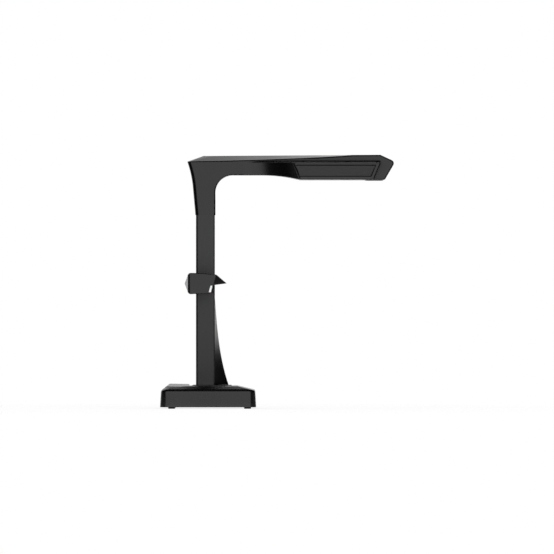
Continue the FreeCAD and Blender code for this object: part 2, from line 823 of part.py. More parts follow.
def make_column():
    tube = new_body("column_tube")
    section = new_sketch(tube, "XY_Plane", "column_foot")
    rectangle(section, "-column_width / 2", "column_width / 2", "-column_front", "column_rear")
    pad(tube, section, "column_top - column_foot")
    rear = value("column_rear")
    round_edges(tube, "column_round_rear", lambda e: runs_along(e, UP) and e.CenterOfMass.y > rear - 1)
    round_edges(tube, "column_round_front",
                lambda e: runs_along(e, UP) and at(e, "column_front", side="column_width / 2"))
    inside = new_sketch(tube, "XY_Plane", "column_top")
    rectangle(inside, "-column_width / 2 + column_wall", "column_width / 2 - column_wall",
              "-column_front + column_wall", "column_rear - column_wall")
    pocket(tube, inside, "column_top - column_foot")

    core = new_body("column_core")
    bar = new_sketch(core, "XY_Plane", "core_foot")
    core_outline(bar, "0")
    pad(core, bar, "beam_foot - core_foot")
    taps = new_sketch(core, "XY_Plane", "beam_foot")
    for x in ("-7", "7"):
        hole_circle(taps, x, "-core_front + core_thick / 2", "2 + pin_gap")
    pocket(core, taps, "14")

    # the prow's crease curves out towards its foot
    prow = new_body("column_prow")
    levels = []
    for step in range(6):
        drop = f"(1 - {step} * 0.194)"
        reach = f"prow_reach * ({PROW_CURVE[0]} * {drop} + {PROW_CURVE[1]} * {drop} ^ 2"
        reach += f" + {PROW_CURVE[2]} * {drop} ^ 3)"
        level = new_sketch(prow, "XY_Plane", f"prow_foot + prow_height * {step} * 0.194")
        plan_outline(level, [
            ("-column_width / 2 + column_round_front", "column_front"),
            ("0", f"column_front + {reach}"),
            ("column_width / 2 - column_round_front", "column_front"),
        ])
        levels.append(level)
    loft(prow, "Additive", levels, ruled=False)


# Elbow and arm

def under_side(rise):
    """The underside from the head back to the elbow's foot, raised into the arm by rise."""
    return [
        ("head_under_start", f"head_under + {rise}", f"arm_dip_arc + {rise}", "left"),
        ("arm_under_end", f"arm_under + {rise}"),
        ("elbow_front + elbow_inner_arc", f"arm_under + {rise}", f"elbow_inner_arc + {rise}", "left"),
        (f"elbow_front - {rise}", "arm_under - elbow_inner_arc"),
    ]


def make_arm_shell():
    body = new_body("arm_shell")
    side = new_sketch(body, "YZ_Plane")
    side_outline(side, [
        ("nose_foot", "head_under"),
        *under_side("0"),
        ("column_front + 0.1", "column_top"),
        ("-elbow_rear", "column_top"),
        ("-column_rear - elbow_bend", "elbow_bend_height", "elbow_rear_arc", "left"),
        ("-arm_back", "arm_back_top"),
        ("-hip_front", "roof_rear"),
        ("roof_end", "roof_front"),
        ("nose_tip", "nose_tip_height"),
    ])
    pad(body, side, "arm_width", both=True)
    round_edges(body, "nose_round", lambda e: runs_along(e, ACROSS)
                and at(e, "nose_tip", "nose_tip_height"))
    round_edges(body, "3.6", lambda e: runs_along(e, ACROSS) and at(e, "nose_foot", "head_under"))
    round_edges(body, "2.2", lambda e: runs_along(e, ACROSS)
                and at(e, "-arm_back", "arm_back_top"))
    # the roof falls away to both sides, steeply over the column and not at all at the head
    rise = "(roof_front - roof_rear) / (roof_end + hip_front)"
    for flip in (False, True):
        levels = []
        for forward, climb in ROOF_EDGE_CLIMB:
            ridge = f"(roof_rear + {rise} * ({forward} + hip_front))"
            fall = f"({ridge} - roof_edge_rear - {climb})" if climb else "hair"
            level = new_sketch(body, "XZ_Plane", forward)
            run = "(arm_width / 2 - ridge_half)"
            outline(level, [
                ("ridge_half - 3", f"{ridge} + {fall} * 3 / {run}"),
                ("arm_width / 2 + 2", f"{ridge} - {fall} * ({run} + 2) / {run}"),
                ("arm_width / 2 + 2", "roof_front + 12"),
                ("ridge_half - 3", "roof_front + 12"),
            ], flip)
            levels.append(level)
        before = body.Shape.Volume
        loft(body, "Subtractive", levels)
        if body.Shape.Volume > before - 100:
            raise RuntimeError("a roof slope removes nothing")
    # the hollow is open below, where the under cover and the head's bottom cover close it
    hollow = new_sketch(body, "YZ_Plane")
    side_outline(hollow, [
        ("-elbow_rear + arm_wall + 0.5", "column_top - 5"),
        ("elbow_front + 6", "column_top - 5"),
        ("elbow_front + 6", "arm_under - elbow_inner_arc"),
        ("elbow_front + elbow_inner_arc", "arm_under - 6"),
        ("arm_under_end", "arm_under - 6"),
        ("head_under_start", "head_under - 8"),
        ("nose_foot - 6.9", "head_under - 8"),
        ("nose_tip - 3.5", "nose_tip_height - 1.1"),
        ("roof_end - 0.4", "roof_front - arm_wall"),
        ("display_rear", "roof_front - arm_wall"),
        ("display_rear", "roof_edge_rear - arm_wall"),
        ("-arm_back + arm_wall + 0.7", "roof_edge_rear - arm_wall", "elbow_rear_arc + arm_wall", "right"),
        ("-column_rear - elbow_bend + arm_wall", "elbow_bend_height"),
    ])
    pocket(body, hollow, "arm_width - 2 * arm_wall", both=True)
    # the head's wings open into the arm through both side walls
    gates = new_sketch(body, "YZ_Plane")
    side_outline(gates, [
        ("gate_rear", "head_under - 6"), ("gate_rear", "wing_top - wing_wall"),
        ("gate_front", "wing_top - wing_wall"), ("gate_front", "head_under - 6"),
    ])
    pocket(body, gates, "arm_width + 10", both=True)
    # the display window's seat, and the opening below it
    seat = new_sketch(body, "XY_Plane", "roof_front + 1")
    display_outline(seat, "0")
    pocket(body, seat, "1 + display_thick + 0.1")
    light = new_sketch(body, "XY_Plane", "roof_front + 1")
    display_outline(light, "-3")
    pocket(body, light, "8")
    # holes for the two push buttons in the sloping front of the roof
    holes = new_sketch(body, "XY_Plane")
    holes.AttachmentOffset = Placement(Vector(), Rotation(ACROSS, 1))
    fix(holes, "AttachmentOffset.Rotation.Angle", NOSE_SLOPE)
    fix(holes, "AttachmentOffset.Base.y", "-button_forward")
    fix(holes, "AttachmentOffset.Base.z", BUTTON_HEIGHT)
    for sign in ("-1", "1"):
        hole_circle(holes, f"{sign} * button_side", "0", "button_radius + run_gap")
    pocket(body, holes, "12", both=True)
    return body


# how far the roof's side edge has climbed at places along the arm, up to where it meets
# the ridge and the roof is flat
ROOF_EDGE_CLIMB = (
    ("-40", "0"), ("10", "0"), ("76", "1.7"), ("135", "4.3"), ("165", "5.8"), ("194", "7.6"),
    ("roof_flat_start", ""),
)


def display_outline(sketch, grow):
    """The display window seen from above, larger all round."""
    rectangle(sketch, f"-display_width / 2 - ({grow})", f"display_width / 2 + {grow}",
              f"-display_front - ({grow})", f"-display_rear + {grow}")


NOSE_SLOPE = "atan((roof_front - nose_tip_height) / (nose_tip - roof_end))"
BUTTON_HEIGHT = (
    "roof_front - (roof_front - nose_tip_height) * (button_forward - roof_end)"
    " / (nose_tip - roof_end)"
)


def make_arm_inside():
    cover = new_body("arm_under_cover")
    side = new_sketch(cover, "YZ_Plane")
    inner = [corner[:2] for corner in under_side("cover_thick")[::-1]]
    side_outline(side, [
        *under_side("0"),
        ("column_front + 0.1", "column_top"),
        ("column_front + 0.1 - cover_thick", "column_top"),
        (*inner[0], "elbow_inner_arc + cover_thick", "right"),
        inner[1],
        (*inner[2], "arm_dip_arc + cover_thick", "right"),
        inner[3],
    ])
    pad(cover, side, "arm_width - 2 * arm_wall - fit_gap", both=True)

    beam = new_body("arm_beam")
    bar = new_sketch(beam, "XY_Plane", "beam_foot")
    plan_outline(bar, [
        ("-core_width / 2", "core_front - core_thick"), ("-core_width / 2", "beam_front"),
        ("core_width / 2", "beam_front"), ("core_width / 2", "core_front - core_thick"),
    ])
    for x in ("-7", "7"):
        hole_circle(bar, x, "-core_front + core_thick / 2", "2.2")
    pad(beam, bar, "beam_thick")
    spots = [(x, "core_front - core_thick / 2", "beam_foot + beam_thick") for x in ("-7", "7")]
    screws("beam_screws", ("3.6", "2.6"), ("2", "14"), spots)

    # the flat cable climbs in front of the core and turns forward under the beam
    ribbon = new_body("ribbon_cable")
    path = new_sketch(ribbon, "YZ_Plane")
    inner, outer = "3 + ribbon_thick", "3 + ribbon_thick + ribbon_bend"
    side_outline(path, [
        ("3", "core_foot + 2"),
        ("3", "beam_foot - ribbon_thick - ribbon_bend", "ribbon_bend + ribbon_thick", "right"),
        (outer, "beam_foot"),
        ("ribbon_front", "beam_foot"),
        ("ribbon_front", "beam_foot - ribbon_thick"),
        (outer, "beam_foot - ribbon_thick", "ribbon_bend", "left"),
        (inner, "beam_foot - ribbon_thick - ribbon_bend"),
        (inner, "core_foot + 2"),
    ])
    pad(ribbon, path, "ribbon_width", both=True)


# Head

def flare_radius(rear):
    """The arc that leaves the arm's side tangentially and meets the bezel at rear."""
    spread = f"(wing_reach - arm_width / 2)"
    return f"(({spread} ^ 2 + ({rear} - flare_start) ^ 2) / (2 * {spread}))"


def wing_at(height):
    """The wing's rear and front corner at a height between its underside and its top."""
    share = f"(({height} - head_under) / (wing_top - head_under))"
    rear = f"(wing_rear_foot + (wing_rear_top - wing_rear_foot) * {share})"
    front = f"(wing_front_foot + (wing_front_top - wing_front_foot) * {share})"
    return rear, front


def make_wing(side, sign):
    flip = sign == "-1"
    body = new_body(f"wing_{side}")
    levels = []
    for height in ("head_under", "wing_top"):
        rear, front = wing_at(height)
        level = new_sketch(body, "XY_Plane", height)
        plan_outline(level, [
            ("arm_width / 2", "flare_start", flare_radius(rear), "right"),
            ("wing_reach", rear),
            ("wing_reach", f"{front} - wing_corner"),
            ("wing_reach - wing_corner", front),
            ("arm_width / 2 + wing_blend", front, "wing_blend", "right"),
            ("arm_width / 2", f"{front} + wing_blend"),
        ], flip)
        levels.append(level)
    loft(body, "Additive", levels)
    dip = new_sketch(body, "YZ_Plane")
    side_outline(dip, [
        ("40", "head_under - 3"), ("head_under_start", "head_under - 3"),
        ("head_under_start", "head_under", "arm_dip_arc", "left"),
        ("arm_under_end", "arm_under"), ("40", "arm_under"),
    ])
    pocket(body, dip, WIDE, both=True)
    upper = []
    for height in ("arm_under + 3", "wing_top - wing_wall"):
        rear, front = wing_at(height)
        outer = flare_radius(rear)
        radius = f"({outer} + wing_wall)"
        start = f"flare_start + sqrt({radius} ^ 2 - ({outer} + 1) ^ 2)"
        end = f"flare_start + sqrt({radius} ^ 2 - ({outer} + arm_width / 2 - wing_reach + wing_wall) ^ 2)"
        level = new_sketch(body, "XY_Plane", height)
        plan_outline(level, [
            ("arm_width / 2 - 1", start, radius, "right"),
            ("wing_reach - wing_wall", end),
            ("wing_reach - wing_wall", f"{front} - wing_corner - 1.5"),
            (f"wing_reach - wing_corner - 1.5", f"{front} - wing_wall"),
            ("arm_width / 2 - 1", f"{front} - wing_wall"),
        ], flip)
        upper.append(level)
    loft(body, "Subtractive", upper)
    lower = new_sketch(body, "XY_Plane", "arm_under + 3.2")
    plan_outline(lower, [
        ("arm_width / 2 - 1", "gate_rear"), ("wing_reach - wing_wall", "gate_rear"),
        ("wing_reach - wing_wall", "gate_front - wing_corner"),
        ("wing_reach - wing_wall - wing_corner", "gate_front"), ("arm_width / 2 - 1", "gate_front"),
    ], flip)
    pocket(body, lower, "20")


BEZEL = [
    ("wing_rear_top", "bezel_top"), ("wing_front_top", "bezel_top"),
    ("wing_front_foot + 0.4", "bezel_foot"), ("wing_rear_foot - 0.3", "bezel_foot"),
]


def panel_corners(gap):
    """The ribbed panel's outline inside the bezel's lip, smaller all round by a gap."""
    return [
        (f"wing_rear_top + bezel_lip_rear + {gap}", f"bezel_top - bezel_lip - {gap}"),
        (f"wing_front_top - bezel_lip_front - {gap}", f"bezel_top - bezel_lip - {gap}"),
        (f"wing_front_foot - bezel_lip_toe - {gap}", f"bezel_foot + bezel_lip + {gap}"),
        (f"wing_rear_foot + {gap}", f"bezel_foot + bezel_lip + {gap}"),
    ]


def make_bezel(side, sign):
    flip = sign == "-1"
    bezel = new_body(f"side_bezel_{side}")
    inner_face = "-head_width / 2" if flip else "wing_reach"
    frame = new_sketch(bezel, "YZ_Plane", inner_face)
    side_outline(frame, BEZEL)
    pad(bezel, frame, "bezel_thick")
    # a slanted facet at the front, which leads to the nose, and a narrow one at the rear
    for run, depth, way, foot_edge, top_edge in (
        ("bezel_facet_run", "bezel_facet_depth", "+", "wing_front_foot + 0.4", "wing_front_top"),
        ("bezel_heel_run", "bezel_heel_depth", "-", "wing_rear_foot - 0.3", "wing_rear_top"),
    ):
        levels = []
        for height, edge in (("bezel_foot", foot_edge), ("bezel_top", top_edge)):
            level = new_sketch(bezel, "XY_Plane", height)
            inner = f"{edge} {way} (-{run} * (1 + 1 / {depth}))"
            plan_outline(level, [
                ("head_width / 2 + 1", inner),
                (f"head_width / 2 - {depth} * 1.5", f"{edge} {way} {run} / 2"),
                ("head_width / 2 + 1", f"{edge} {way} {run} / 2"),
            ], flip)
            levels.append(level)
        loft(bezel, "Subtractive", levels)
    recess = new_sketch(bezel, "YZ_Plane", f"{sign} * head_width / 2")
    side_outline(recess, panel_corners("0"))
    pocket(bezel, recess, "panel_plate_thick + panel_plate_sink", back=flip)


def make_panel(side, sign):
    """The panel in the bezel, with fine slanted grooves across its face."""
    flip = sign == "-1"
    body = new_body(f"side_panel_{side}")
    face = f"{sign} * (head_width / 2 - panel_plate_sink)"
    plate = new_sketch(body, "YZ_Plane", face)
    side_outline(plate, panel_corners("fit_gap / 2"))
    pad(body, plate, "panel_plate_thick", back=not flip)
    groove = new_sketch(body, "YZ_Plane", face)
    low, high = "bezel_foot + bezel_lip - 0.5", "bezel_top - bezel_lip + 0.5"
    start = "wing_rear_top + 3"
    lean = f"rib_lean * ({high} - ({low}))"
    side_outline(groove, [
        (start, low), (f"{start} + {lean}", high),
        (f"{start} + {lean} + rib_groove", high), (f"{start} + rib_groove", low),
    ])
    cut = pocket(body, groove, "rib_depth", back=flip)
    ribs = body.newObject("PartDesign::LinearPattern", body.Label + "_grooves")
    ribs.Originals = [cut]
    ribs.Direction = (groove, ["H_Axis"])
    ribs.Reversed = True
    count = "floor((wing_front_top - bezel_lip_front - wing_rear_top - 3) / rib_pitch)"
    fix(ribs, "Occurrences", count)
    fix(ribs, "Length", f"({count} - 1) * rib_pitch")
    body.Tip = ribs
    doc.recompute()


def make_head_cover():
    body = new_body("head_bottom_cover")
    plate = new_sketch(body, "XY_Plane", "head_under")
    half = "(arm_width / 2 - arm_wall - fit_gap / 2)"
    wing = "(wing_reach - wing_wall - fit_gap)"
    rear, front = "gate_rear + fit_gap", "gate_front - fit_gap"
    right = [
        (half, "head_under_start + 0.1"), (half, rear), (wing, rear),
        (wing, f"{front} - wing_corner"), (f"{wing} - wing_corner", front), (half, front),
        (half, "nose_foot - 2.4"),
    ]
    left = [(f"-({x})", forward) for x, forward in reversed(right)]
    plan_outline(plate, right + left)
    hole_circle(plate, "0", "-camera_forward", "camera_ring - 2.5")
    for step in ("-1", "0", "1"):
        hole_circle(plate, f"{step} * laser_pitch", "-laser_forward", "2")
    for x, y in HEAD_SCREWS:
        hole_circle(plate, x, y, "1.6")
    for sign in ("-1", "1"):
        plan_outline(plate, led_corners(sign, "0"))
    pad(body, plate, "cover_thick")
    ledge = new_sketch(body, "XY_Plane", "head_under + cover_thick")
    for sign in ("-1", "1"):
        plan_outline(ledge, led_corners(sign, "1.5"))
    pocket(body, ledge, "1.2")
    heads = new_sketch(body, "XY_Plane", "head_under")
    for x, y in HEAD_SCREWS:
        hole_circle(heads, x, y, "3")
    pocket(body, heads, "cover_thick / 2", back=True)
    spots = [(x, f"-({y})", "head_under + cover_thick / 2") for x, y in HEAD_SCREWS]
    screws("head_screws", ("2.6", "1"), ("1.3", "6"), spots, "180")
    # posts that carry the boards
    for height, places, radius in (
        ("led_lift", LED_POSTS, "post_radius"),
        ("main_board_lift", MAIN_POSTS, "post_radius"),
        ("camera_lift", CAMERA_POSTS, "post_radius * 0.85"),
    ):
        posts = new_sketch(body, "XY_Plane", "head_under + cover_thick")
        for x, forward in places:
            hole_circle(posts, x, f"-({forward})", radius)
        pad(body, posts, f"{height} - cover_thick")


HEAD_SCREWS = [
    (x, y) for x in ("-head_screw_x", "head_screw_x")
    for y in ("-(gate_rear + 7)", "-(gate_front - 7.5)")
]
LED_POSTS = [
    (x, forward) for x in ("-led_side", "led_side")
    for forward in ("led_rear - 3.8", "led_rear + led_length + 3.8")
]
MAIN_POSTS = [
    (x, forward) for x in ("-20", "20")
    for forward in ("main_board_rear + 6", "main_board_rear + main_board_length - 4")
]
CAMERA_POSTS = [
    (x, forward) for x in ("-12", "12")
    for forward in ("camera_forward - 11.5", "camera_forward + 7.5")
]


def led_corners(sign, rim):
    """The window of one work light, larger all round by a rim."""
    low, high = f"led_side - led_width / 2 - {rim}", f"led_side + led_width / 2 + {rim}"
    rear, front = f"led_rear - {rim}", f"led_rear + led_length + {rim}"
    return [
        (f"{sign} * ({low})", rear), (f"{sign} * ({low})", front),
        (f"{sign} * ({high})", front), (f"{sign} * ({high})", rear),
    ]


def make_head_inside(side, sign):
    diffuser = new_body(f"work_light_diffuser_{side}")
    lens = new_sketch(diffuser, "XY_Plane", "head_under + cover_thick - 1.2")
    plan_outline(lens, led_corners(sign, "1.4"))
    pad(diffuser, lens, "1.4")
    window = new_sketch(diffuser, "XY_Plane", "head_under + 0.3")
    plan_outline(window, led_corners(sign, "-0.1"))
    pad(diffuser, window, "cover_thick - 1.4")

    board = new_body(f"work_light_board_{side}")
    base = new_sketch(board, "XY_Plane", "head_under + led_lift")
    low, high = f"{sign} * led_side - led_width / 2", f"{sign} * led_side + led_width / 2"
    rectangle(base, low, high, "-led_rear - led_length - 6", "-led_rear + 6")
    pad(board, base, "board_thick")
    lamps = new_sketch(board, "XY_Plane", "head_under + led_lift - 0.8")
    for number in range(7):
        place = f"-(led_rear + led_length * {number + 0.5} / 7)"
        x = f"{sign} * led_side"
        rectangle(lamps, f"{x} - 1.5", f"{x} + 1.5", f"{place} - 1.5", f"{place} + 1.5")
    pad(board, lamps, "1")


def make_camera():
    window = new_body("camera_window")
    ring = new_sketch(window, "XY_Plane", "head_under - 1")
    hole_circle(ring, "0", "-camera_forward", "camera_ring")
    pad(window, ring, "1")
    plug = new_sketch(window, "XY_Plane", "head_under - 0.1")
    hole_circle(plug, "0", "-camera_forward", "camera_ring - 2.6")
    pad(window, plug, "cover_thick")
    lens = new_body("lens_barrel")
    for low, length, radius in (
        ("4", "8", "lens_radius"), ("11.9", "camera_lift - 11.9", "lens_radius - 2"),
    ):
        ring = new_sketch(lens, "XY_Plane", f"head_under + {low}")
        hole_circle(ring, "0", "-camera_forward", radius)
        pad(lens, ring, length)
    block("camera_board", ("-15", "15"), ("camera_forward - 14", "camera_forward + 14"),
          ("head_under + camera_lift", "head_under + camera_lift + board_thick"))
    block("main_board", ("-led_side + 4", "led_side - 4"),
          ("main_board_rear", "main_board_rear + main_board_length"),
          ("main_board_height", "main_board_height + board_thick"))

    # finned heat sink on the main board
    sink = new_body("heat_sink")
    comb = new_sketch(sink, "XZ_Plane", "main_board_rear + 10")
    bottom = "main_board_height + board_thick"
    fins = [("-20", bottom), ("20", bottom)]
    for number in range(7):
        edge = f"20 - {number} * 40 / 6.5"
        fins += [(edge, f"{bottom} + 6.2"), (f"{edge} - 1.6", f"{bottom} + 6.2")]
        if number < 6:
            fins += [(f"{edge} - 1.6", f"{bottom} + 1.8"), (f"{edge} - 40 / 6.5", f"{bottom} + 1.8")]
    fins[-1] = ("-20", f"{bottom} + 6.2")
    outline(comb, fins)
    pad(sink, comb, "46")

    emitters = []
    for number, step in enumerate(("-1", "0", "1"), 1):
        x = f"{step} * laser_pitch"
        tube = rod(f"laser_{number}", "laser_radius", "11", x, "laser_forward",
                   "head_under + cover_thick", "0", False)
        emitters.append(tube)
    group = doc.addObject("Part::Compound", "laser_emitters")
    group.Links = emitters
    keep(group, "laser_emitters")

    glass = new_body("display_window")
    plate = new_sketch(glass, "XY_Plane", "roof_front - 0.1")
    display_outline(plate, "-fit_gap / 2")
    pad(glass, plate, "display_thick", back=True)
    block("display_module", ("-display_width / 2 + 1", "display_width / 2 - 1"),
          ("display_rear + 1", "display_front - 1"),
          ("roof_front - arm_wall - 4.7", "roof_front - arm_wall"))
    for label, sign in (("light_button", "-1"), ("scan_button", "1")):
        button = new_body(label)
        ring = new_sketch(button, "XY_Plane")
        ring.AttachmentOffset = Placement(Vector(), Rotation(ACROSS, 1))
        fix(ring, "AttachmentOffset.Rotation.Angle", NOSE_SLOPE)
        fix(ring, "AttachmentOffset.Base.y", "-button_forward")
        fix(ring, "AttachmentOffset.Base.z", BUTTON_HEIGHT)
        hole_circle(ring, f"{sign} * button_side", "0", "button_radius")
        pad(button, ring, "button_length", back=True)
        level = value(BUTTON_HEIGHT) - 1
        round_edges(button, "0.5", lambda e: len(e.Vertexes) == 1 and e.CenterOfMass.z > level)


# Lamp bar

def make_lamp_pod(side, sign):
    flip = sign == "-1"
    pod = new_body(f"lamp_pod_{side}")
    start = "lamp_inner" if sign == "1" else "-lamp_width / 2"
    profile = new_sketch(pod, "YZ_Plane", start)
    side_outline(profile, [
        ("-lamp_back + lamp_rim", "lamp_foot"),
        ("-lamp_back + lamp_rim", "lamp_top", "lamp_top_arc", "right"),
        ("lamp_face", "lamp_face_top"),
        ("lamp_root", "lamp_root_height"),
        ("strip_rear", "lamp_root_height - strip_gap"),
        ("strip_rear - strip_lean", "lamp_foot + lamp_lip"),
        ("lamp_lip_front", "lamp_foot + lamp_lip"),
        ("lamp_lip_front - 0.2", "lamp_foot + lamp_lip / 2"),
    ])
    pad(pod, profile, "lamp_width / 2 - lamp_inner")
    cavity_start = "lamp_inner + 3.7" if sign == "1" else "-lamp_width / 2 + 4"
    cavity = new_sketch(pod, "YZ_Plane", cavity_start)
    side_outline(cavity, [
        ("-lamp_back + lamp_rim - 2", "lamp_foot + lamp_wall"),
        ("-lamp_back + lamp_rim - 2", "lamp_top - lamp_wall"),
        ("lamp_root - lamp_board_setback", "lamp_face_top - lamp_wall"),
        ("lamp_root - lamp_board_setback", "lamp_foot + lamp_wall"),
    ])
    pocket(pod, cavity, "lamp_width / 2 - lamp_inner - 7.7", back=True)
    # the light passes from the board to the diffuser through a window
    window = new_sketch(pod, "XZ_Plane", "lamp_root - 10")
    rectangle(window, *lamp_span(sign, "6"), "lamp_foot + 4.2", "lamp_root_height - 1.5")
    pocket(pod, window, "4.8", back=True)
    taps = new_sketch(pod, "XZ_Plane", "-lamp_back + lamp_rim")
    for height in LAMP_SCREW_HEIGHTS:
        hole_circle(taps, f"{sign} * lamp_screw_x", height, "lamp_screw_radius + pin_gap")
    pocket(pod, taps, "lamp_screw_length", back=True)
    if sign == "1":
        well = new_sketch(pod, "XY_Plane", "lamp_top + 1")
        hole_circle(well, "lamp_button_x", "lamp_button_rear", "lamp_button_radius + run_gap")
        pocket(pod, well, "1 + lamp_wall + 3")

    points = {
        "root_in": ("lamp_inner", "lamp_root", "lamp_root_height"),
        "face_in": ("lamp_inner", "lamp_face", "lamp_face_top"),
        "tip_in": ("lamp_inner", "hood_tip", "hood_tip_height"),
        "root_out": ("lamp_width / 2", "lamp_root", "lamp_root_height"),
        "face_out": ("lamp_width / 2", "lamp_face", "lamp_face_top"),
        "tip_out": ("lamp_width / 2 - hood_cut", "hood_tip", "hood_tip_height"),
    }
    at_side = float(sign)
    spots = {k: Vector(at_side * value(x), -value(f), value(z)) for k, (x, f, z) in points.items()}
    faces = []
    for corners in (
        ("root_in", "face_in", "tip_in"),
        ("root_out", "face_out", "tip_out"),
        ("face_in", "face_out", "tip_out", "tip_in"),
        ("root_in", "root_out", "tip_out", "tip_in"),
        ("root_in", "root_out", "face_out", "face_in"),
    ):
        loop = [spots[name] for name in corners]
        faces.append(Part.Face(Part.makePolygon(loop + loop[:1])))
    hood = doc.addObject("Part::Feature", f"lamp_hood_{side}")
    solid = Part.Solid(Part.Shell(faces))
    if solid.Volume < 0:
        solid.reverse()
    hood.Shape = solid
    hood.Placement = Placement()
    keep(hood, f"lamp_hood_{side}")

    strip = new_body(f"lamp_diffuser_{side}")
    start = "lamp_inner + 2" if sign == "1" else "-lamp_width / 2 + fit_gap"
    bar = new_sketch(strip, "YZ_Plane", start)
    side_outline(bar, [
        ("strip_rear", "lamp_root_height - strip_gap"),
        ("strip_rear + strip_thick", "lamp_root_height - strip_gap / 2"),
        ("lamp_lip_front", "lamp_foot + lamp_lip"),
        ("strip_rear - strip_lean", "lamp_foot + lamp_lip"),
    ])
    pad(strip, bar, "lamp_width / 2 - fit_gap - lamp_inner - 2")


def lamp_span(sign, inset):
    """The lower and the higher x of a stretch of one pod, inset from its outer end."""
    low, high = "lamp_inner + lamp_post", f"lamp_width / 2 - {inset}"
    return (low, high) if sign == "1" else (f"-({high})", f"-({low})")


LAMP_SCREW_HEIGHTS = ("lamp_foot + lamp_screw_edge", "lamp_top - lamp_screw_edge")


def make_lamp_middle():
    cover = new_body("lamp_back_cover")
    rim = new_sketch(cover, "XZ_Plane", "-lamp_back")
    rectangle(rim, "-lamp_width / 2", "lamp_width / 2", "lamp_foot", "lamp_top")
    pad(cover, rim, "lamp_rim")
    rear = value("lamp_back")
    round_edges(cover, "lamp_back_round",
                lambda e: abs(e.BoundBox.YMin - rear) < 0.01 and abs(e.BoundBox.YMax - rear) < 0.01)
    levels = []
    for depth, half_x, half_z in (
        ("-lamp_back", "(lamp_width / 2 - lamp_back_round)", "(lamp_height / 2 - lamp_back_round)"),
        ("-lamp_ridge", "1.5", "0.8"),
    ):
        level = new_sketch(cover, "XZ_Plane", depth)
        middle = "(lamp_top + lamp_foot) / 2"
        rectangle(level, f"-{half_x}", half_x, f"{middle} - {half_z}", f"{middle} + {half_z}")
        levels.append(level)
    loft(cover, "Additive", levels)
    holes = new_sketch(cover, "XZ_Plane", "-lamp_back + lamp_rim")
    for sign in ("-1", "1"):
        for height in LAMP_SCREW_HEIGHTS:
            hole_circle(holes, f"{sign} * lamp_screw_x", height, "lamp_screw_radius + 0.15")
    pocket(cover, holes, "lamp_screw_length")
    sinks = new_sketch(cover, "XZ_Plane", "-lamp_back + lamp_screw_sink")
    for sign in ("-1", "1"):
        for height in LAMP_SCREW_HEIGHTS:
            hole_circle(sinks, f"{sign} * lamp_screw_x", height, "lamp_screw_head + 0.2")
    pocket(cover, sinks, "8")
    spots = [
        (f"{sign} * lamp_screw_x", "-lamp_back + lamp_screw_sink", height)
        for sign in ("-1", "1") for height in LAMP_SCREW_HEIGHTS
    ]
    screws("lamp_screws", ("lamp_screw_head", "1.2"), ("lamp_screw_radius", "lamp_screw_length"),
           spots, "-90")

    clamp = new_body("lamp_clamp")
    ring = new_sketch(clamp, "XY_Plane", "clamp_foot")
    for grow in ("run_gap + clamp_thick", "run_gap"):
        rectangle(ring, f"-column_width / 2 - ({grow})", f"column_width / 2 + {grow}",
                  f"-column_front - ({grow})", f"column_rear + {grow}")
    pad(clamp, ring, "clamp_top - clamp_foot")
    # no band in front of the column below the hoods
    gap = new_sketch(clamp, "XY_Plane", "lamp_root_height + 0.5")
    rectangle(gap, "-lamp_inner - 1", "lamp_inner + 1", "-column_front - 4", "-column_front + 1")
    pocket(clamp, gap, "lamp_height")
    boss = new_sketch(clamp, "XY_Plane", "clamp_foot + 4")
    rectangle(boss, "-8", "8", "column_rear + run_gap + 0.5", "lamp_back - lamp_rim")
    pad(clamp, boss, "clamp_top - clamp_foot - 8")

    boards = []
    board = "lamp_root - lamp_board_setback"
    for side, sign in SIDES:
        boards.append(block(f"lamp_board_{side}", lamp_span(sign, "5"),
                            (f"{board} - board_thick", board),
                            ("lamp_foot + 3.2", "lamp_root_height"), False))
    group = doc.addObject("Part::Compound", "lamp_boards")
    group.Links = boards
    keep(group, "lamp_boards")

    button = new_body("lamp_button")
    ring = new_sketch(button, "XY_Plane", "lamp_top - 0.1 - lamp_button_length")
    hole_circle(ring, "lamp_button_x", "lamp_button_rear", "lamp_button_radius")
    pad(button, ring, "lamp_button_length")
    top = value("lamp_top - 0.1")
    round_edges(button, "0.4", lambda e: abs(e.BoundBox.ZMin - top) < 0.01)


def main():
    base_shell = make_base_shell()
    make_base_inside()
    make_sockets()
    make_top_trim(base_shell)
    make_column()
    make_arm_shell()
    make_arm_inside()
    for side, sign in SIDES:
        make_wing(side, sign)
        make_bezel(side, sign)
        make_panel(side, sign)
    make_head_cover()
    for side, sign in SIDES:
        make_head_inside(side, sign)
    make_camera()
    for side, sign in SIDES:
        make_lamp_pod(side, sign)
    make_lamp_middle()
    write_pieces()


def write_pieces():
    """Stops on any failed feature or bad shape, and only then writes the files."""
    doc.recompute()
    failed = [o.Label for o in doc.Objects if {"Invalid", "Error"} & set(o.State)]
    failed += [p.Label for p in pieces if p.Shape.isNull() or not p.Shape.isValid()]
    failed += [p.Label for p in pieces if not p.Shape.Solids]
    if failed:
        raise RuntimeError(f"failed: {sorted(set(failed))}")
    os.makedirs("parts", exist_ok=True)
    for piece in pieces:
        piece.Shape.exportStep(f"parts/{piece.Label}.step")
        print(piece.Label, len(piece.Shape.Solids), round(piece.Shape.Volume))
    print(len(pieces), "pieces")


main()
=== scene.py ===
# %% [markdown]
# # Overhead book scanner
#
# The object is a desk scanner for books: a weighted base, an upright column, an arm that
# bends forward over the desk and a wide, flat camera head. A lamp bar slides on the column.
# The construction comes from the CAD model, which is loaded here as a fixed frame. This
# script gives it its looks: moulded skins with true edges and joints, and a finish for
# every piece. All numbers for shapes are millimetres, and "forward" is the distance from
# the middle of the base towards the front.

# %% The frame
import json
import math

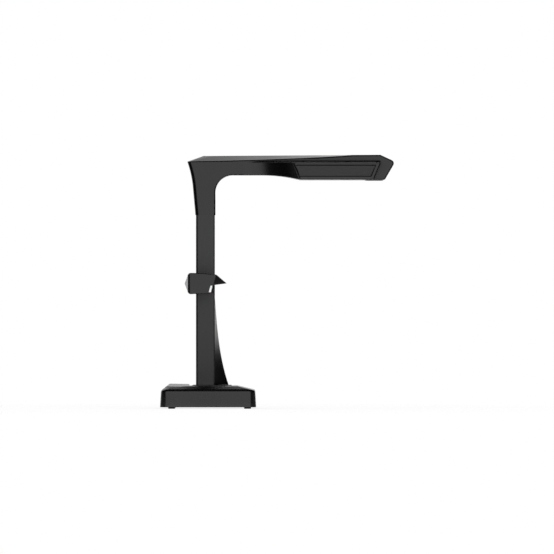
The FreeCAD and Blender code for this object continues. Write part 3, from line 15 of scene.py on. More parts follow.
import bmesh
import bpy
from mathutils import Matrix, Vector


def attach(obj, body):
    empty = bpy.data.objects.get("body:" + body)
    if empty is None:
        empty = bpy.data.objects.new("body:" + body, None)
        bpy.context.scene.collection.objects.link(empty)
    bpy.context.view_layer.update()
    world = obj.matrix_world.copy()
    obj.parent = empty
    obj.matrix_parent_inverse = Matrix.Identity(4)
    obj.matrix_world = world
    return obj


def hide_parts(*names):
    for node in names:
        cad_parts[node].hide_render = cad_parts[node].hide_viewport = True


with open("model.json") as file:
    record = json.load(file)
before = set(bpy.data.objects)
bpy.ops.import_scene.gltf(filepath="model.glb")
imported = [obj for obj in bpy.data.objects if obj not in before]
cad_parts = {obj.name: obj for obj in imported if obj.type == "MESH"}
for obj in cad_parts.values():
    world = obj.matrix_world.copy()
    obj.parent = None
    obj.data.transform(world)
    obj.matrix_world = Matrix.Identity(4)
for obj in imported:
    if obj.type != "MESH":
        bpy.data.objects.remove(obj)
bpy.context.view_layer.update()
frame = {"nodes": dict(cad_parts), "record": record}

nodes = frame["nodes"]

# %% [markdown]
# ## The camera
#
# The picture was taken square to the side with a very long lens: nothing shows perspective,
# and the base's top is seen exactly edge-on. So the camera stands far away on the left of
# the object, level with it, and looks along +X. Its height and its distance come from the
# object's place in the picture, where one pixel is 1.475 mm.

# %% Camera
MM = 0.001
PIXEL, PICTURE = 1.475 * MM, 554
MIDDLE = (-0.1013, 0.1936)  # Y and Z of what lies in the middle of the picture
LENS, SENSOR = 800, 36

camera_data = bpy.data.cameras.new("camera")
camera_data.lens, camera_data.sensor_width = LENS, SENSOR
camera = bpy.data.objects.new("camera", camera_data)
camera.location = (-PICTURE / 2 * PIXEL * LENS / (SENSOR / 2), *MIDDLE)
camera.rotation_euler = (math.radians(90), 0, math.radians(-90))
bpy.context.scene.collection.objects.link(camera)
bpy.context.scene.camera = camera
bpy.context.scene.view_settings.view_transform = "Standard"
print("camera", [round(place, 3) for place in camera.location])

# %% [markdown]
# ## Writing shader maths as Python
#
# A finish is a small tree of nodes. Two classes keep it readable. `Wire` is one output of
# a node: adding or multiplying wires adds the Math node that does it. `Finish` owns the
# material, and its `node` method makes any other node from its type, its settings and
# what goes into its sockets.

# %% Wire and Finish
class Wire:
    """An output socket that can be used in arithmetic."""

    def __init__(self, finish, socket):
        self.finish, self.socket = finish, socket

    def maths(self, operation, *values):
        return self.finish.node("ShaderNodeMath", {"operation": operation}, values)

    def __add__(self, other):
        return self.maths("ADD", self, other)

    def __sub__(self, other):
        return self.maths("SUBTRACT", self, other)

    def __rsub__(self, other):
        return self.maths("SUBTRACT", other, self)

    def __mul__(self, other):
        return self.maths("MULTIPLY", self, other)

    def __getitem__(self, name):
        """Another output of the same node."""
        return Wire(self.finish, self.socket.node.outputs[name])

    __radd__, __rmul__ = __add__, __mul__

    def sine(self):
        return self.maths("SINE", self)

    def between(self, low, high):
        """0 below low, 1 above high, and smooth in between."""
        return self.finish.node(
            "ShaderNodeMapRange", {"interpolation_type": "SMOOTHSTEP"},
            {"Value": self, "From Min": low, "From Max": high},
        )


class Finish:
    """A material in the making, around one Principled shader."""

    def __init__(self, name, owner=None):
        self.material = owner or bpy.data.materials.new(name)
        self.material.use_nodes = True
        self.tree = self.material.node_tree
        self.shader = self.tree.nodes.get("Principled BSDF")

    def node(self, kind, settings=None, sockets=(), out=0):
        made = self.tree.nodes.new(kind)
        for field, value in (settings or {}).items():
            setattr(made, field, value)
        fed = sockets.items() if isinstance(sockets, dict) else enumerate(sockets)
        for key, value in fed:
            self.feed(made.inputs[key], value)
        return Wire(self, made.outputs[out])

    def feed(self, socket, value):
        if isinstance(value, Wire):
            self.tree.links.new(value.socket, socket)
        else:
            socket.default_value = value

    def shade(self, **sockets):
        """Sets the shader's sockets. Base_Color stands for Base Color."""
        for name, value in sockets.items():
            self.feed(self.shader.inputs[name.replace("_", " ")], value)

    def place(self, stretch=(1, 1, 1)):
        """The place on the object in metres, stretched along the axes."""
        spot = self.node("ShaderNodeTexCoord")["Object"]
        return self.node("ShaderNodeVectorMath", {"operation": "MULTIPLY"}, (spot, stretch))

    def axis(self, name):
        return self.node("ShaderNodeSeparateXYZ", None, (self.place(),))[name]

    def noise(self, size, stretch=(1, 1, 1), detail=2.0):
        """Noise with features of this size in millimetres, from 0 to 1."""
        return self.node(
            "ShaderNodeTexNoise", None,
            {"Vector": self.place(stretch), "Scale": 1000 / size, "Detail": detail},
        )

    def mix(self, share, first, second):
        """A colour between two, of which the first may be a wire."""
        first = first if isinstance(first, Wire) else (*first, 1)
        sockets = {0: share, 6: first, 7: (*second, 1)}  # the numbers are those of a mix of colours
        return self.node("ShaderNodeMix", {"data_type": "RGBA"}, sockets, out=2)

    def bump(self, height, depth, strength=1.0):
        """Raises the surface by height times depth, in millimetres."""
        self.shade(Normal=self.node(
            "ShaderNodeBump", None,
            {"Height": height, "Strength": strength, "Distance": depth * MM},
        ))

    def edges(self):
        """1 on worn outer edges, 0 elsewhere."""
        return self.node("ShaderNodeNewGeometry")["Pointiness"].between(0.52, 0.6)

    def watched(self):
        """1 where the camera looks, also by way of a reflection, and 0 for all other light."""
        rays = self.node("ShaderNodeLightPath")
        seen = rays["Is Camera Ray"] + rays["Is Glossy Ray"] + rays["Is Transmission Ray"]
        return seen.between(0, 1)


def toned(shade, level):
    """A colour made darker or lighter."""
    return tuple(part * level for part in shade)


print("shader tools ready")

# %% [markdown]
# ## Moulded plastic
#
# Nearly all of the scanner is black, injection-moulded plastic with a spark-eroded grain.
# Such a surface is almost black in itself, and what is seen is a broad, soft reflection of
# the studio. So the base colour is very low and the roughness is medium. Noise does the
# rest: grain of about half a millimetre in the bump, and slow clouds in colour and
# roughness from handling. Worn edges take a slight polish.

# %% Plastic
def plastic(name, shade, roughness, grain=0.55, depth=0.012, specular=0.5, wear=0.6):
    finish = Finish(name)
    cloud = finish.noise(34, detail=3.0)
    speck = finish.noise(grain, detail=3.0)
    worn = finish.edges() * wear
    base = finish.mix(cloud * 0.6 + speck * 0.4, toned(shade, 0.86), toned(shade, 1.14))
    finish.shade(
        Base_Color=finish.mix(worn, base, toned(shade, 1.7)),
        Roughness=roughness + (cloud - 0.5) * 0.1 + (speck - 0.5) * 0.08 - worn * 0.06,
        Specular_IOR_Level=specular,
    )
    finish.bump(speck + cloud * 0.3, depth)
    return finish.material


BLACK, DEEP_BLACK = (0.0036, 0.0036, 0.0037), (0.0034, 0.0034, 0.0035)
HOUSING = plastic("housing_black", BLACK, 0.25, specular=0.62)
BASE = plastic("base_black", BLACK, 0.26, grain=0.7, depth=0.014, specular=0.67)
TRIM = plastic("trim_black", DEEP_BLACK, 0.25, grain=0.4, depth=0.008, specular=0.68)
BACK = plastic("lamp_back_black", BLACK, 0.31, specular=0.62)
PROW = plastic("prow_black", DEEP_BLACK, 0.34, grain=0.6, specular=0.4)
INNER = plastic("inner_black", (0.008, 0.008, 0.0085), 0.6, grain=0.8, depth=0.02, wear=0.2)
print("plastics", [made.name for made in (HOUSING, BASE, TRIM, BACK, PROW, INNER)])

# %% [markdown]
# ## The column's finish
#
# The column is a drawn aluminium tube with a black satin coat. It is a touch lighter than
# the plastic, and drawing leaves faint lines along its length. The lines are noise that is
# stretched along Z, which feeds the colour, the roughness and a very low bump.

# %% Coated tube
def coated_tube(name, shade, roughness):
    finish = Finish(name)
    lines = finish.noise(0.5, stretch=(1, 1, 0.012), detail=2.0)
    cloud = finish.noise(60, detail=2.0)
    base = finish.mix(lines, toned(shade, 0.8), toned(shade, 1.2))
    finish.shade(
        Base_Color=finish.mix(finish.edges() * 0.5, base, toned(shade, 1.6)),
        Roughness=roughness + (lines - 0.5) * 0.1 + (cloud - 0.5) * 0.06,
        Specular_IOR_Level=0.75,
    )
    finish.bump(lines, 0.006)
    return finish.material


COLUMN = coated_tube("column_satin", (0.005, 0.005, 0.0052), 0.38)
print("tube", COLUMN.name)

# %% [markdown]
# ## Small finishes
#
# The other materials are few: milky diffusers, tinted windows, coated lens glass, rubber,
# plated and blackened metal, solder mask, a ribbon cable and bare aluminium. Each has the
# one or two marks by which the real thing is known.

# %% Rubber, diffusers and windows
def rubber():
    finish = Finish("foot_rubber")
    dust, speck = finish.noise(5, detail=4.0), finish.noise(0.35)
    # Both colours are set far darker than black rubber is, as painted shade for the shadow under
    # the base where the feet stand; the dust mixed between them is real.
    clean_painted_shade, dusty_painted_shade = (0.0015, 0.0015, 0.0015), (0.004, 0.0039, 0.0038)
    finish.shade(
        Base_Color=finish.mix(dust.between(0.45, 0.75), clean_painted_shade, dusty_painted_shade),
        Roughness=0.8 + dust * 0.15, Specular_IOR_Level=0.04,
    )
    finish.bump(speck, 0.03)
    return finish.material


def milky(name, glow):
    finish = Finish(name)
    cloud, speck = finish.noise(9, detail=3.0), finish.noise(0.3)
    finish.shade(
        Base_Color=finish.mix(cloud, (0.88, 0.89, 0.89), (0.94, 0.94, 0.93)),
        Roughness=0.3 + cloud * 0.12, Specular_IOR_Level=0.5,
        Subsurface_Weight=0.25, Subsurface_Scale=0.002,
        Emission_Color=finish.mix(cloud, (0.95, 0.97, 1.0), (1.0, 1.0, 0.98)),
        Emission_Strength=glow,
    )
    finish.bump(speck, 0.006)
    return finish.material


def tinted(name, shade=(0.004, 0.004, 0.005), roughness=0.07):
    finish = Finish(name)
    smear, dust = finish.noise(14, detail=4.0), finish.noise(0.8, detail=1.0)
    finish.shade(
        Base_Color=finish.mix(smear, shade, toned(shade, 1.8)),
        Roughness=roughness + smear.between(0.5, 0.8) * 0.1 + dust.between(0.68, 0.75) * 0.15,
        Specular_IOR_Level=0.5, Coat_Weight=0.6, Coat_Roughness=0.03,
    )
    finish.bump(smear, 0.01)
    return finish.material


RUBBER = rubber()
DIFFUSER = milky("diffuser_milky", 0.25)
LIGHT = milky("work_light_milky", 0.15)
WINDOW = tinted("window_tinted")
LENS = tinted("lens_coated", (0.006, 0.004, 0.014), 0.03)
print("soft and clear finishes ready")


# %% Metals, boards and the ribbon
def metal(name, shade, roughness, stretch=(1, 1, 1), size=0.4):
    finish = Finish(name)
    lines, stain = finish.noise(size, stretch, 3.0), finish.noise(7, detail=4.0)
    finish.shade(
        Base_Color=finish.mix(stain, toned(shade, 0.85), shade),
        Roughness=roughness + lines * 0.14 + stain * 0.08, Metallic=1.0,
    )
    finish.bump(lines, 0.006)
    return finish.material


def solder_mask():
    finish = Finish("board_green")
    pace = 2600  # radians for a metre, which sets the tracks 2.4 mm apart
    tracks = (finish.axis("X") * pace).sine() * (finish.axis("Y") * pace).sine()
    copper = (tracks + finish.noise(4) * 0.8 - 0.6).between(-0.1, 0.1)
    finish.shade(
        Base_Color=finish.mix(copper, (0.008, 0.06, 0.028), (0.02, 0.13, 0.055)),
        Roughness=0.3 + copper * 0.1, Specular_IOR_Level=0.5,
    )
    finish.bump(copper, 0.03)
    return finish.material


def flat_cable():
    finish = Finish("ribbon_white")
    wires = (finish.axis("X") * (math.tau * 1000)).sine().between(-0.3, 0.3)
    finish.shade(
        Base_Color=finish.mix(wires, (0.55, 0.55, 0.52), (0.74, 0.74, 0.7)),
        Roughness=0.38 + wires * 0.1,
    )
    finish.bump(wires, 0.05)
    return finish.material


STEEL = metal("steel_plated", (0.52, 0.52, 0.5), 0.3)
BLACKENED = metal("screw_black", (0.1, 0.1, 0.105), 0.32)
SHELL = metal("socket_tinned", (0.6, 0.6, 0.6), 0.24, size=0.6)
ALUMINIUM = metal("aluminium_bare", (0.72, 0.72, 0.74), 0.3, (1, 0.03, 1))
BRASS = metal("brass_turned", (0.7, 0.52, 0.24), 0.26)
BOARD = solder_mask()
RIBBON = flat_cable()
print("metals and boards ready")

# %% [markdown]
# ## A mesh in millimetres
#
# The skins are built point by point. `Form` is a thin layer over bmesh: it takes points as
# (across, forward, height) in millimetres, makes strips between rows of points and closes
# them, and then finishes the piece. Real mouldings have no sharp edge, and a rounded edge
# is what draws the dark outline in the photograph, so each edge gets its own radius
# through a weighted Bevel modifier.

# %% Form
class Form:
    """A piece's mesh in the making."""

    def __init__(self):
        self.mesh = bmesh.new()
        self.widest = 0

    def point(self, across, forward, height):
        return self.mesh.verts.new((across * MM, -forward * MM, height * MM))

    def row(self, points):
        return [self.point(*point) for point in points]

    def level(self, outline, height):
        """A row at one height from points (across, forward)."""
        return self.row([(x, y, height) for x, y in outline])

    def flank(self, outline, across):
        """A row in one plane beside the middle from points (forward, height)."""
        return self.row([(across, y, z) for y, z in outline])

    def upright(self, outline, forward, height):
        """A row in one plane across the object from points (across, up from height)."""
        return self.row([(x, forward, height + z) for x, z in outline])

    def face(self, corners):
        kept = [v for i, v in enumerate(corners) if v not in corners[:i]]
        if len(kept) > 2:
            self.mesh.faces.new(kept)

    def holed(self, outline, *holes):
        """A flat face with holes in it, each sunk to its second row of points."""
        edges = []
        for loop in (outline, *[rim for rim, sunk in holes]):
            for pair in zip(loop, loop[1:] + loop[:1]):
                edges.append(self.mesh.edges.get(pair) or self.mesh.edges.new(pair))
        bmesh.ops.triangle_fill(self.mesh, edges=edges, use_beauty=True)
        for rim, sunk in holes:
            self.skin([rim, sunk])
            self.face(sunk)

    def skin(self, rows, wrap=True):
        """Strips between rows that have as many points each."""
        count = len(rows[0])
        for low, high in zip(rows, rows[1:]):
            for i in range(count if wrap else count - 1):
                j = (i + 1) % count
                self.face([low[i], low[j], high[j], high[i]])

    def tube(self, rows):
        """Closed strips with both ends closed."""
        self.skin(rows)
        self.face(rows[0])
        self.face(rows[-1])

    def cut(self, place, outward):
        """Cuts everything off beyond a plane, given along X, Y and Z, and leaves the cut open."""
        everything = self.mesh.verts[:] + self.mesh.edges[:] + self.mesh.faces[:]
        bmesh.ops.bisect_plane(self.mesh, geom=everything, plane_co=Vector(place) * MM,
                               plane_no=Vector(outward), clear_outer=True)

    def rim(self):
        """The edges of what is open."""
        return [edge for edge in self.mesh.edges if len(edge.link_faces) == 1]

    def soften(self, radius, rules=(), least=12):
        """Weights each edge that is sharper than least degrees by its radius."""
        bmesh.ops.remove_doubles(self.mesh, verts=self.mesh.verts, dist=0.02 * MM)
        bmesh.ops.dissolve_degenerate(self.mesh, edges=self.mesh.edges, dist=0.01 * MM)
        bmesh.ops.recalc_face_normals(self.mesh, faces=self.mesh.faces)
        self.widest = max([radius] + [special for test, special in rules])
        weight = self.mesh.edges.layers.float.new("bevel_weight_edge")
        for edge in self.mesh.edges:
            if len(edge.link_faces) != 2 or edge.calc_face_angle(0) < math.radians(least):
                continue
            middle = (edge.verts[0].co + edge.verts[1].co) / (2 * MM)
            spot = (middle.x, -middle.y, middle.z)
            chosen = [special for test, special in rules if test(*spot)]
            wanted = chosen[0] if chosen else radius
            edge[weight] = wanted / self.widest if self.widest else 0
            edge.smooth = wanted > 0

    def piece(self, name, material, body="housing", slot="housing", stands_for=(), segments=3):
        """Finishes the mesh as a visible piece that rides on a body."""
        for face in self.mesh.faces:
            face.smooth = True
        made = new_object(name, self.mesh)
        made.data.materials.append(material)
        if self.widest:
            bevel = made.modifiers.new("edges", "BEVEL")
            bevel.limit_method, bevel.width = "WEIGHT", self.widest * MM
            bevel.segments, bevel.use_clamp_overlap = segments, False
            made.modifiers.new("shading", "WEIGHTED_NORMAL").keep_sharp = True
        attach(made, body)
        if stands_for:
            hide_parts(*([stands_for] if isinstance(stands_for, str) else stands_for))
        print(f"{name}: {len(made.data.vertices)} points")
        return made


def new_object(name, mesh):
    """An object in the scene from a bmesh, which is used up."""
    data = bpy.data.meshes.new(name)
    mesh.to_mesh(data)
    mesh.free()
    made = bpy.data.objects.new(name, data)
    bpy.context.scene.collection.objects.link(made)
    return made


def arc(centre, radius, start, end, steps):
    """Points on an arc, with angles in degrees."""
    turns = [math.radians(start + (end - start) * i / steps) for i in range(steps + 1)]
    return [(centre[0] + radius * math.cos(t), centre[1] + radius * math.sin(t)) for t in turns]


def rounding(before, corner, after, radius, steps=6):
    """Points that round the corner between two straight lines."""
    before, corner, after = Vector(before), Vector(corner), Vector(after)
    back, on = (before - corner).normalized(), (after - corner).normalized()
    half = back.angle(on) / 2
    centre = corner + (back + on).normalized() * radius / math.sin(half)
    reach = radius / math.tan(half)
    ends = [corner + way * reach - centre for way in (back, on)]
    start, end = (math.degrees(math.atan2(spot.y, spot.x)) for spot in ends)
    if abs(end - start) > 180:
        end += 360 if end < start else -360
    return arc(centre, radius, start, end, steps)


def bow(start, end, radius, steps, bulge):
    """Points from start to end on a shallow arc; bulge is 1 or -1, for the side."""
    start, end = Vector(start), Vector(end)
    chord = end - start
    along = chord.normalized()
    side = Vector((-chord.y, chord.x)).normalized() * bulge
    half = chord.length / 2
    centre = (start + end) / 2 - side * math.sqrt(radius**2 - half**2)
    reach = math.asin(half / radius)
    out = []
    for i in range(steps + 1):
        turn = -reach + 2 * reach * i / steps
        out.append(centre + side * radius * math.cos(turn) + along * radius * math.sin(turn))
    return [tuple(spot) for spot in out]


def rounded_box(half_across, half_forward, radius, steps=6):
    """A rounded rectangle seen from above."""
    corners = []
    for number, (x, y) in enumerate(((1, 1), (-1, 1), (-1, -1), (1, -1))):
        centre = (x * (half_across - radius), y * (half_forward - radius))
        corners += arc(centre, radius, 90 * number, 90 * number + 90, steps)
    return corners


SHARP = math.radians(32)


def carve(piece, *forms, solver="EXACT"):
    """Cuts other forms out of a piece, after its edges are rounded, and keeps the result."""
    cutters = []
    for form in forms:
        bmesh.ops.remove_doubles(form.mesh, verts=form.mesh.verts, dist=0.01 * MM)
        bmesh.ops.recalc_face_normals(form.mesh, faces=form.mesh.faces)
        cutters.append(new_object("cutter", form.mesh))
        cut = piece.modifiers.new("cut", "BOOLEAN")
        cut.operation, cut.solver, cut.object = "DIFFERENCE", solver, cutters[-1]
    graph = bpy.context.evaluated_depsgraph_get()
    data = bpy.data.meshes.new_from_object(piece.evaluated_get(graph))
    data.name = piece.name
    piece.modifiers.clear()
    piece.data = data
    mesh = bmesh.new()
    mesh.from_mesh(data)
    for edge in mesh.edges:
        if len(edge.link_faces) == 2 and edge.calc_face_angle(0) > SHARP:
            edge.smooth = False
    mesh.to_mesh(data)
    mesh.free()
    piece.modifiers.new("shading", "WEIGHTED_NORMAL").keep_sharp = True
    for cutter in cutters:
        bpy.data.objects.remove(cutter)


SIDES = (("left", -1), ("right", 1))
print("mesh tools ready")

# %% [markdown]
# ## The base
#
# The base is a shallow box with drafted walls. Its wall rounds over into a narrow bevel,
# and that into a flat top, which slopes away towards the front and, more slowly, towards
# the rear. A stack of rounded rectangles gives all but the slopes, which are cut off it.
# The stack starts inside, so the moulding has a wall and is open below, where the bottom
# cover closes it. A window in the rear wall shows the sockets.

# %% Base rings
BASE_HALF = (85.0, 70.6)
BASE_FOOT, SHOULDER, TOP = 2.26, 23.8, 33.4
WALL_ANGLE, BEVEL_ANGLE = 3.3, 61.0  # how far the wall and the bevel look upwards
RIM_ROUND, TOP_ROUND = 6.0, 4.0
FOOT_CORNER, RIM_CORNER, BEVEL_CORNER, TOP_CORNER = 11.2, 9.6, 7.2, 6.0
SLOPES = [(42.5, 13.6), (-28.1, -3.6)]  # where each slope of the top starts, and its angle


def roll(inset, height, radius, corner, start, end, steps):
    """Rings that round an edge, from a centre, with angles above the horizontal."""
    section = arc((-inset, height), radius, start, end, steps)
    return [(-out, z, corner) for out, z in section]


def drafted(height):
    """The wall's ring at a height."""
    inset = (height - BASE_FOOT) * math.tan(math.radians(WALL_ANGLE))
    return inset, height, FOOT_CORNER - inset


BASE_RINGS = [  # inset from the outline, height, corner radius
    (7.2, 24.0, 6.5), (3.5, 4.0, 7.4), (2.6, BASE_FOOT, 7.4),
    (0.25, BASE_FOOT, FOOT_CORNER), (0.0, 2.5, FOOT_CORNER), drafted(9.0), drafted(17.0),
    *roll(7.3, SHOULDER, RIM_ROUND, RIM_CORNER, WALL_ANGLE, BEVEL_ANGLE, 16),
    (7.8, 30.94, BEVEL_CORNER),
    *roll(13.28, TOP - TOP_ROUND, TOP_ROUND, TOP_CORNER, BEVEL_ANGLE, 90, 6),
]
print(len(BASE_RINGS), "rings in the base")

# %% Base housing
form = Form()
form.tube([
    form.level(rounded_box(BASE_HALF[0] - inset, BASE_HALF[1] - inset, radius, 18), height)
    for inset, height, radius in BASE_RINGS
])
for start, angle in SLOPES:
    fall = math.radians(angle)
    form.cut((0, -start, TOP), (0, -math.sin(fall), math.cos(fall)))
    bmesh.ops.contextual_create(form.mesh, geom=form.rim())
form.soften(0, least=6)
base = form.piece("base_housing", BASE, stands_for="base_shell")

SOCKETS_HALF, SOCKETS_HEIGHT = (49, 6.75), 14.25
window = Form()
outline = rounded_box(*SOCKETS_HALF, 1.5, 3)
window.tube([window.upright(outline, forward, SOCKETS_HEIGHT) for forward in (-75, -63.5)])
carve(base, window)

# %% [markdown]
# ## The cover behind the column
#
# A low, faceted cover lies across the rear half of the base, over the sockets. It slopes
# down to the rear and to both sides. Four rows of points, one for each change of slope,
# describe it; its skirt sinks into the base.

# %% Rear cover
HUMP_FRONT, HUMP_REAR, HUMP_FOOT, HUMP_LIP = -28.1, -63.9, 27.5, 30.8
# half width and height at the front, the same at the rear, and where the rear edge lies
OUTER_LINE, INNER_LINE = (51.0, 32.5, 51.0, 32.5, -61.7), (30.7, 35.6, 26.8, 36.2, -57.0)
form = Form()
rows = []
for sign, line in ((-1, OUTER_LINE), (-1, INNER_LINE), (1, INNER_LINE), (1, OUTER_LINE)):
    front, front_top, rear, rear_top, rear_edge = line
    rows.append(form.row([
        (sign * front, HUMP_FRONT, HUMP_FOOT), (sign * front, HUMP_FRONT, front_top),
        (sign * rear, rear_edge, rear_top), (sign * rear, HUMP_REAR, HUMP_LIP),
        (sign * rear, HUMP_REAR, HUMP_FOOT),
    ]))
form.tube(rows)
form.soften(0.6)
form.piece("rear_cover_skin", BASE, stands_for="rear_cover")

# %% [markdown]
# ## The collar
#
# Where the column enters the base, a thin collar follows its outline and that of the prow.
# It is one prism whose upper edge is well rounded, so it reads as a soft step.

# %% Collar
COLLAR = [(-30.9, -23.5), (-30.9, 15.0), (-6, 34.7), (6, 34.7), (30.9, 15.0), (30.9, -23.5)]
COLLAR_FOOT, COLLAR_TOP = 31.8, 34.7
form = Form()
form.tube([form.level(COLLAR, z) for z in (COLLAR_FOOT, COLLAR_TOP)])
form.soften(1.2, [(lambda x, y, z: z < COLLAR_FOOT + 0.7, 0)])
form.piece("collar_skin", BASE, stands_for="column_collar", segments=4)

# %% [markdown]
# ## The feet
#
# Four rubber pads carry the scanner. Each is turned: a slightly hollow tread, a rounded
# rim and a flange that widens where it meets the cover, which is what makes them look
# like small trapezoids from the side. `turned` spins a profile into such a piece, and it
# serves for the buttons and the lens as well.

# %% Turned pieces and feet
def turned(profile, across, forward, tilt=0.0, height=0.0, steps=40, form=None):
    """Spins (radius, rise) points about an axis through a point. tilt leans it forward."""
    form = form or Form()
    lean = math.radians(tilt)
    rows = []
    for radius, rise in profile:
        ring = []
        for i in range(steps):
            t = math.tau * i / steps
            x, y = radius * math.cos(t), radius * math.sin(t)
            ring.append((across + x, forward + y * math.cos(lean) + rise * math.sin(lean),
                         height - y * math.sin(lean) + rise * math.cos(lean)))
        rows.append(form.row(ring))
    form.tube(rows)
    return form


FOOT = [  # radius, height
    (3.2, 0.25), (3.4, 0.1), (4.3, 0.0), (4.75, 0.12), (4.95, 0.45), (5.0, 1.5), (5.3, 1.9),
    (5.3, BASE_FOOT),
]
FOOT_SIDE, FOOT_FRONT, FOOT_REAR = 68.0, 58.0, -53.5
for end, forward in (("front", FOOT_FRONT), ("rear", FOOT_REAR)):
    for side, sign in SIDES:
        form = turned(FOOT, sign * FOOT_SIDE, forward)
        form.soften(0)
        form.piece(f"foot_pad_{end}_{side}", RUBBER, slot="rubber", stands_for=f"foot_{end}_{side}")

# %% [markdown]
# ## The column
#
# The column is a rounded rectangular tube: tight corners at the front, wider ones at the
# rear. One outline, lifted through a few heights, makes it. The prow stands in front of
# it as a wedge whose crease curves forward towards its foot, so it is a stack of sections
# whose middle point follows a curve.

# %% Column tube
COLUMN_HALF, COLUMN_FRONT, COLUMN_REAR, COLUMN_TOP = 25.5, 9.6, -18.1, 284.9
outline = []
for number, (x, y, radius, steps) in enumerate((
    (COLUMN_HALF, COLUMN_FRONT, 2.1, 5), (-COLUMN_HALF, COLUMN_FRONT, 2.1, 5),
    (-COLUMN_HALF, COLUMN_REAR, 3.6, 8), (COLUMN_HALF, COLUMN_REAR, 3.6, 8),
)):
    centre = (x - math.copysign(radius, x), y - math.copysign(radius, y))
    outline += arc(centre, radius, 90 * number, 90 * number + 90, steps)
form = Form()
form.tube([form.level(outline, z) for z in (24.0, 120.0, 200.0, COLUMN_TOP)])
form.soften(0)
form.piece("column_skin", COLUMN, stands_for="column_tube")

# %% Prow
PROW_FOOT, PROW_HEIGHT, PROW_REACH, PROW_HALF = 31.0, 134.5, 21.9, 23.9
PROW_STEPS, PROW_END = 24, 0.97  # the wedge ends just short of its point
form = Form()
rows = []
for step in range(PROW_STEPS + 1):
    height = PROW_FOOT + PROW_HEIGHT * PROW_END * step / PROW_STEPS
    drop = 1 - (height - PROW_FOOT) / PROW_HEIGHT
    reach = PROW_REACH * (0.44 * drop - 0.08 * drop**2 + 0.64 * drop**3)
    half = [(-PROW_HALF, COLUMN_FRONT - 1), (-PROW_HALF, COLUMN_FRONT),
            (-11.9, COLUMN_FRONT + reach * 0.5), (0, COLUMN_FRONT + reach)]
    mirrored = [(-x, y) for x, y in reversed(half[:-1])]
    rows.append(form.level(half + mirrored, height))
form.tube(rows)
form.soften(0, [(lambda x, y, z: abs(x) < 1 and 33 < z < 160, 0.7)], least=14)  # the crease
form.piece("prow_skin", PROW, stands_for="column_prow")

# %% [markdown]
# ## Elbow, arm and nose
#
# One large moulding makes the elbow, the arm and the nose of the head. Seen from the side
# it has one outline; its two flat sides are joined by a band that runs round that outline.
# Only the roof is not square to the sides: from a flat ridge it falls away to both edges,
# steeply over the column and less and less towards the head, and a small triangular hip
# closes it at the rear. The lower side is left open, and a wall thickness turns inwards
# from its rim.

# %% Arm outline
HEAD_FOOT, ARM_FOOT = 336.6, 343.4
DIP = bow((135.0, HEAD_FOOT), (79.1, ARM_FOOT), 233.0, 14, -1)
ELBOW_RADIUS = 25.5
ELBOW_CENTRE = (35.95, ARM_FOOT - ELBOW_RADIUS)
INNER_ELBOW = arc(ELBOW_CENTRE, ELBOW_RADIUS, 90, 180, 18)
REAR_ELBOW = bow((-22.6, 324.9), (-30.9, 363.5), 159.0, 14, -1)
ROOF_END, NOSE_TIP, NOSE_FOOT = (253.6, 373.65), (275.6, 363.4), (260.1, HEAD_FOOT)
NOSE = rounding(DIP[0], NOSE_FOOT, NOSE_TIP, 3.6)
NOSE += rounding(NOSE_FOOT, NOSE_TIP, ROOF_END, 5.25, 10)
ROOF_EDGE = [  # where the roof meets the side, from rear to front
    (-29.2, 364.1), (10.0, 364.1), (28.0, 364.5), (47.0, 365.1), (76.0, 365.9), (106.0, 367.2),
    (135.0, 368.4), (162.0, 369.7), (180.0, 370.8), (197.0, 371.9), (214.0, 373.4),
]
ARM_HALF, RIDGE_HALF = 26.0, 7.0
RIDGE_START = (-7.2, 372.05)


def ridge(forward):
    """The ridge's height along the arm."""
    share = (min(forward, ROOF_END[0]) - RIDGE_START[0]) / (ROOF_END[0] - RIDGE_START[0])
    return RIDGE_START[1] + (ROOF_END[1] - RIDGE_START[1]) * share


# %% Arm underside and elbow
CHANNEL, WALL, ELBOW_CORNER = 4.6, 2.3, 6.5
FOOT_FORWARD = 10.45  # the front of the arm's foot on the column
GATE = (241.2, 137.0)  # between these the walls end at GATE_TOP, above the head's bottom cover
GATE_TOP, GATE_LEAN = 339.0, 0.2
lips = [(257.6, HEAD_FOOT), (GATE[0], HEAD_FOOT), (GATE[0] - GATE_LEAN, GATE_TOP),
        (GATE[1] + GATE_LEAN, GATE_TOP), (GATE[1], HEAD_FOOT)]
floors = [(y, HEAD_FOOT + CHANNEL) for y, z in lips] + [(y, z + CHANNEL) for y, z in DIP]
floors += arc(ELBOW_CENTRE, ELBOW_RADIUS + CHANNEL, 90, 180, 18)
lips += DIP + INNER_ELBOW + [(FOOT_FORWARD, COLUMN_TOP)]
floors.append((FOOT_FORWARD - CHANNEL, COLUMN_TOP))


def rear_row(forward):
    """Across the rear of the elbow, with well rounded corners; from left to right."""
    centre = (ARM_HALF - ELBOW_CORNER, forward + ELBOW_CORNER)
    half = arc(centre, ELBOW_CORNER, 0, -90, 18)
    return [(-x, y) for x, y in half] + [(x, y) for x, y in reversed(half)]


print(len(lips), "points along the underside,", len(rear_row(0)), "across the elbow")

# %% Display seat and button holes
SEAT_SIDE, SEAT_HALF, SEAT_MIDDLE, SEAT_DEPTH = 20.0, 14.0, 236.0, 1.25
BUTTON_SIDE, BUTTON_FORWARD, BUTTON_TILT = 12.0, 263.0, 25.0
HOLE_RADIUS, HOLE_DEPTH = 4.85, 8.8
NOSE_SLOPE = (ROOF_END[1] - NOSE_TIP[1]) / (NOSE_TIP[0] - ROOF_END[0])
BUTTON_TOP = ROOF_END[1] - (BUTTON_FORWARD - ROOF_END[0]) * NOSE_SLOPE


def seat_outline(gap, corner):
    """The display's seat or, with a gap round it, the window that lies in it."""
    box = rounded_box(SEAT_SIDE - gap, SEAT_HALF - gap, corner, 4)
    return [(x, y + SEAT_MIDDLE) for x, y in box]


def seat_rows(form):
    """The rim and the floor of the display's seat."""
    return [form.row([(x, y, ridge(y) - down) for x, y in seat_outline(0, 1.2)])
            for down in (0, SEAT_DEPTH)]


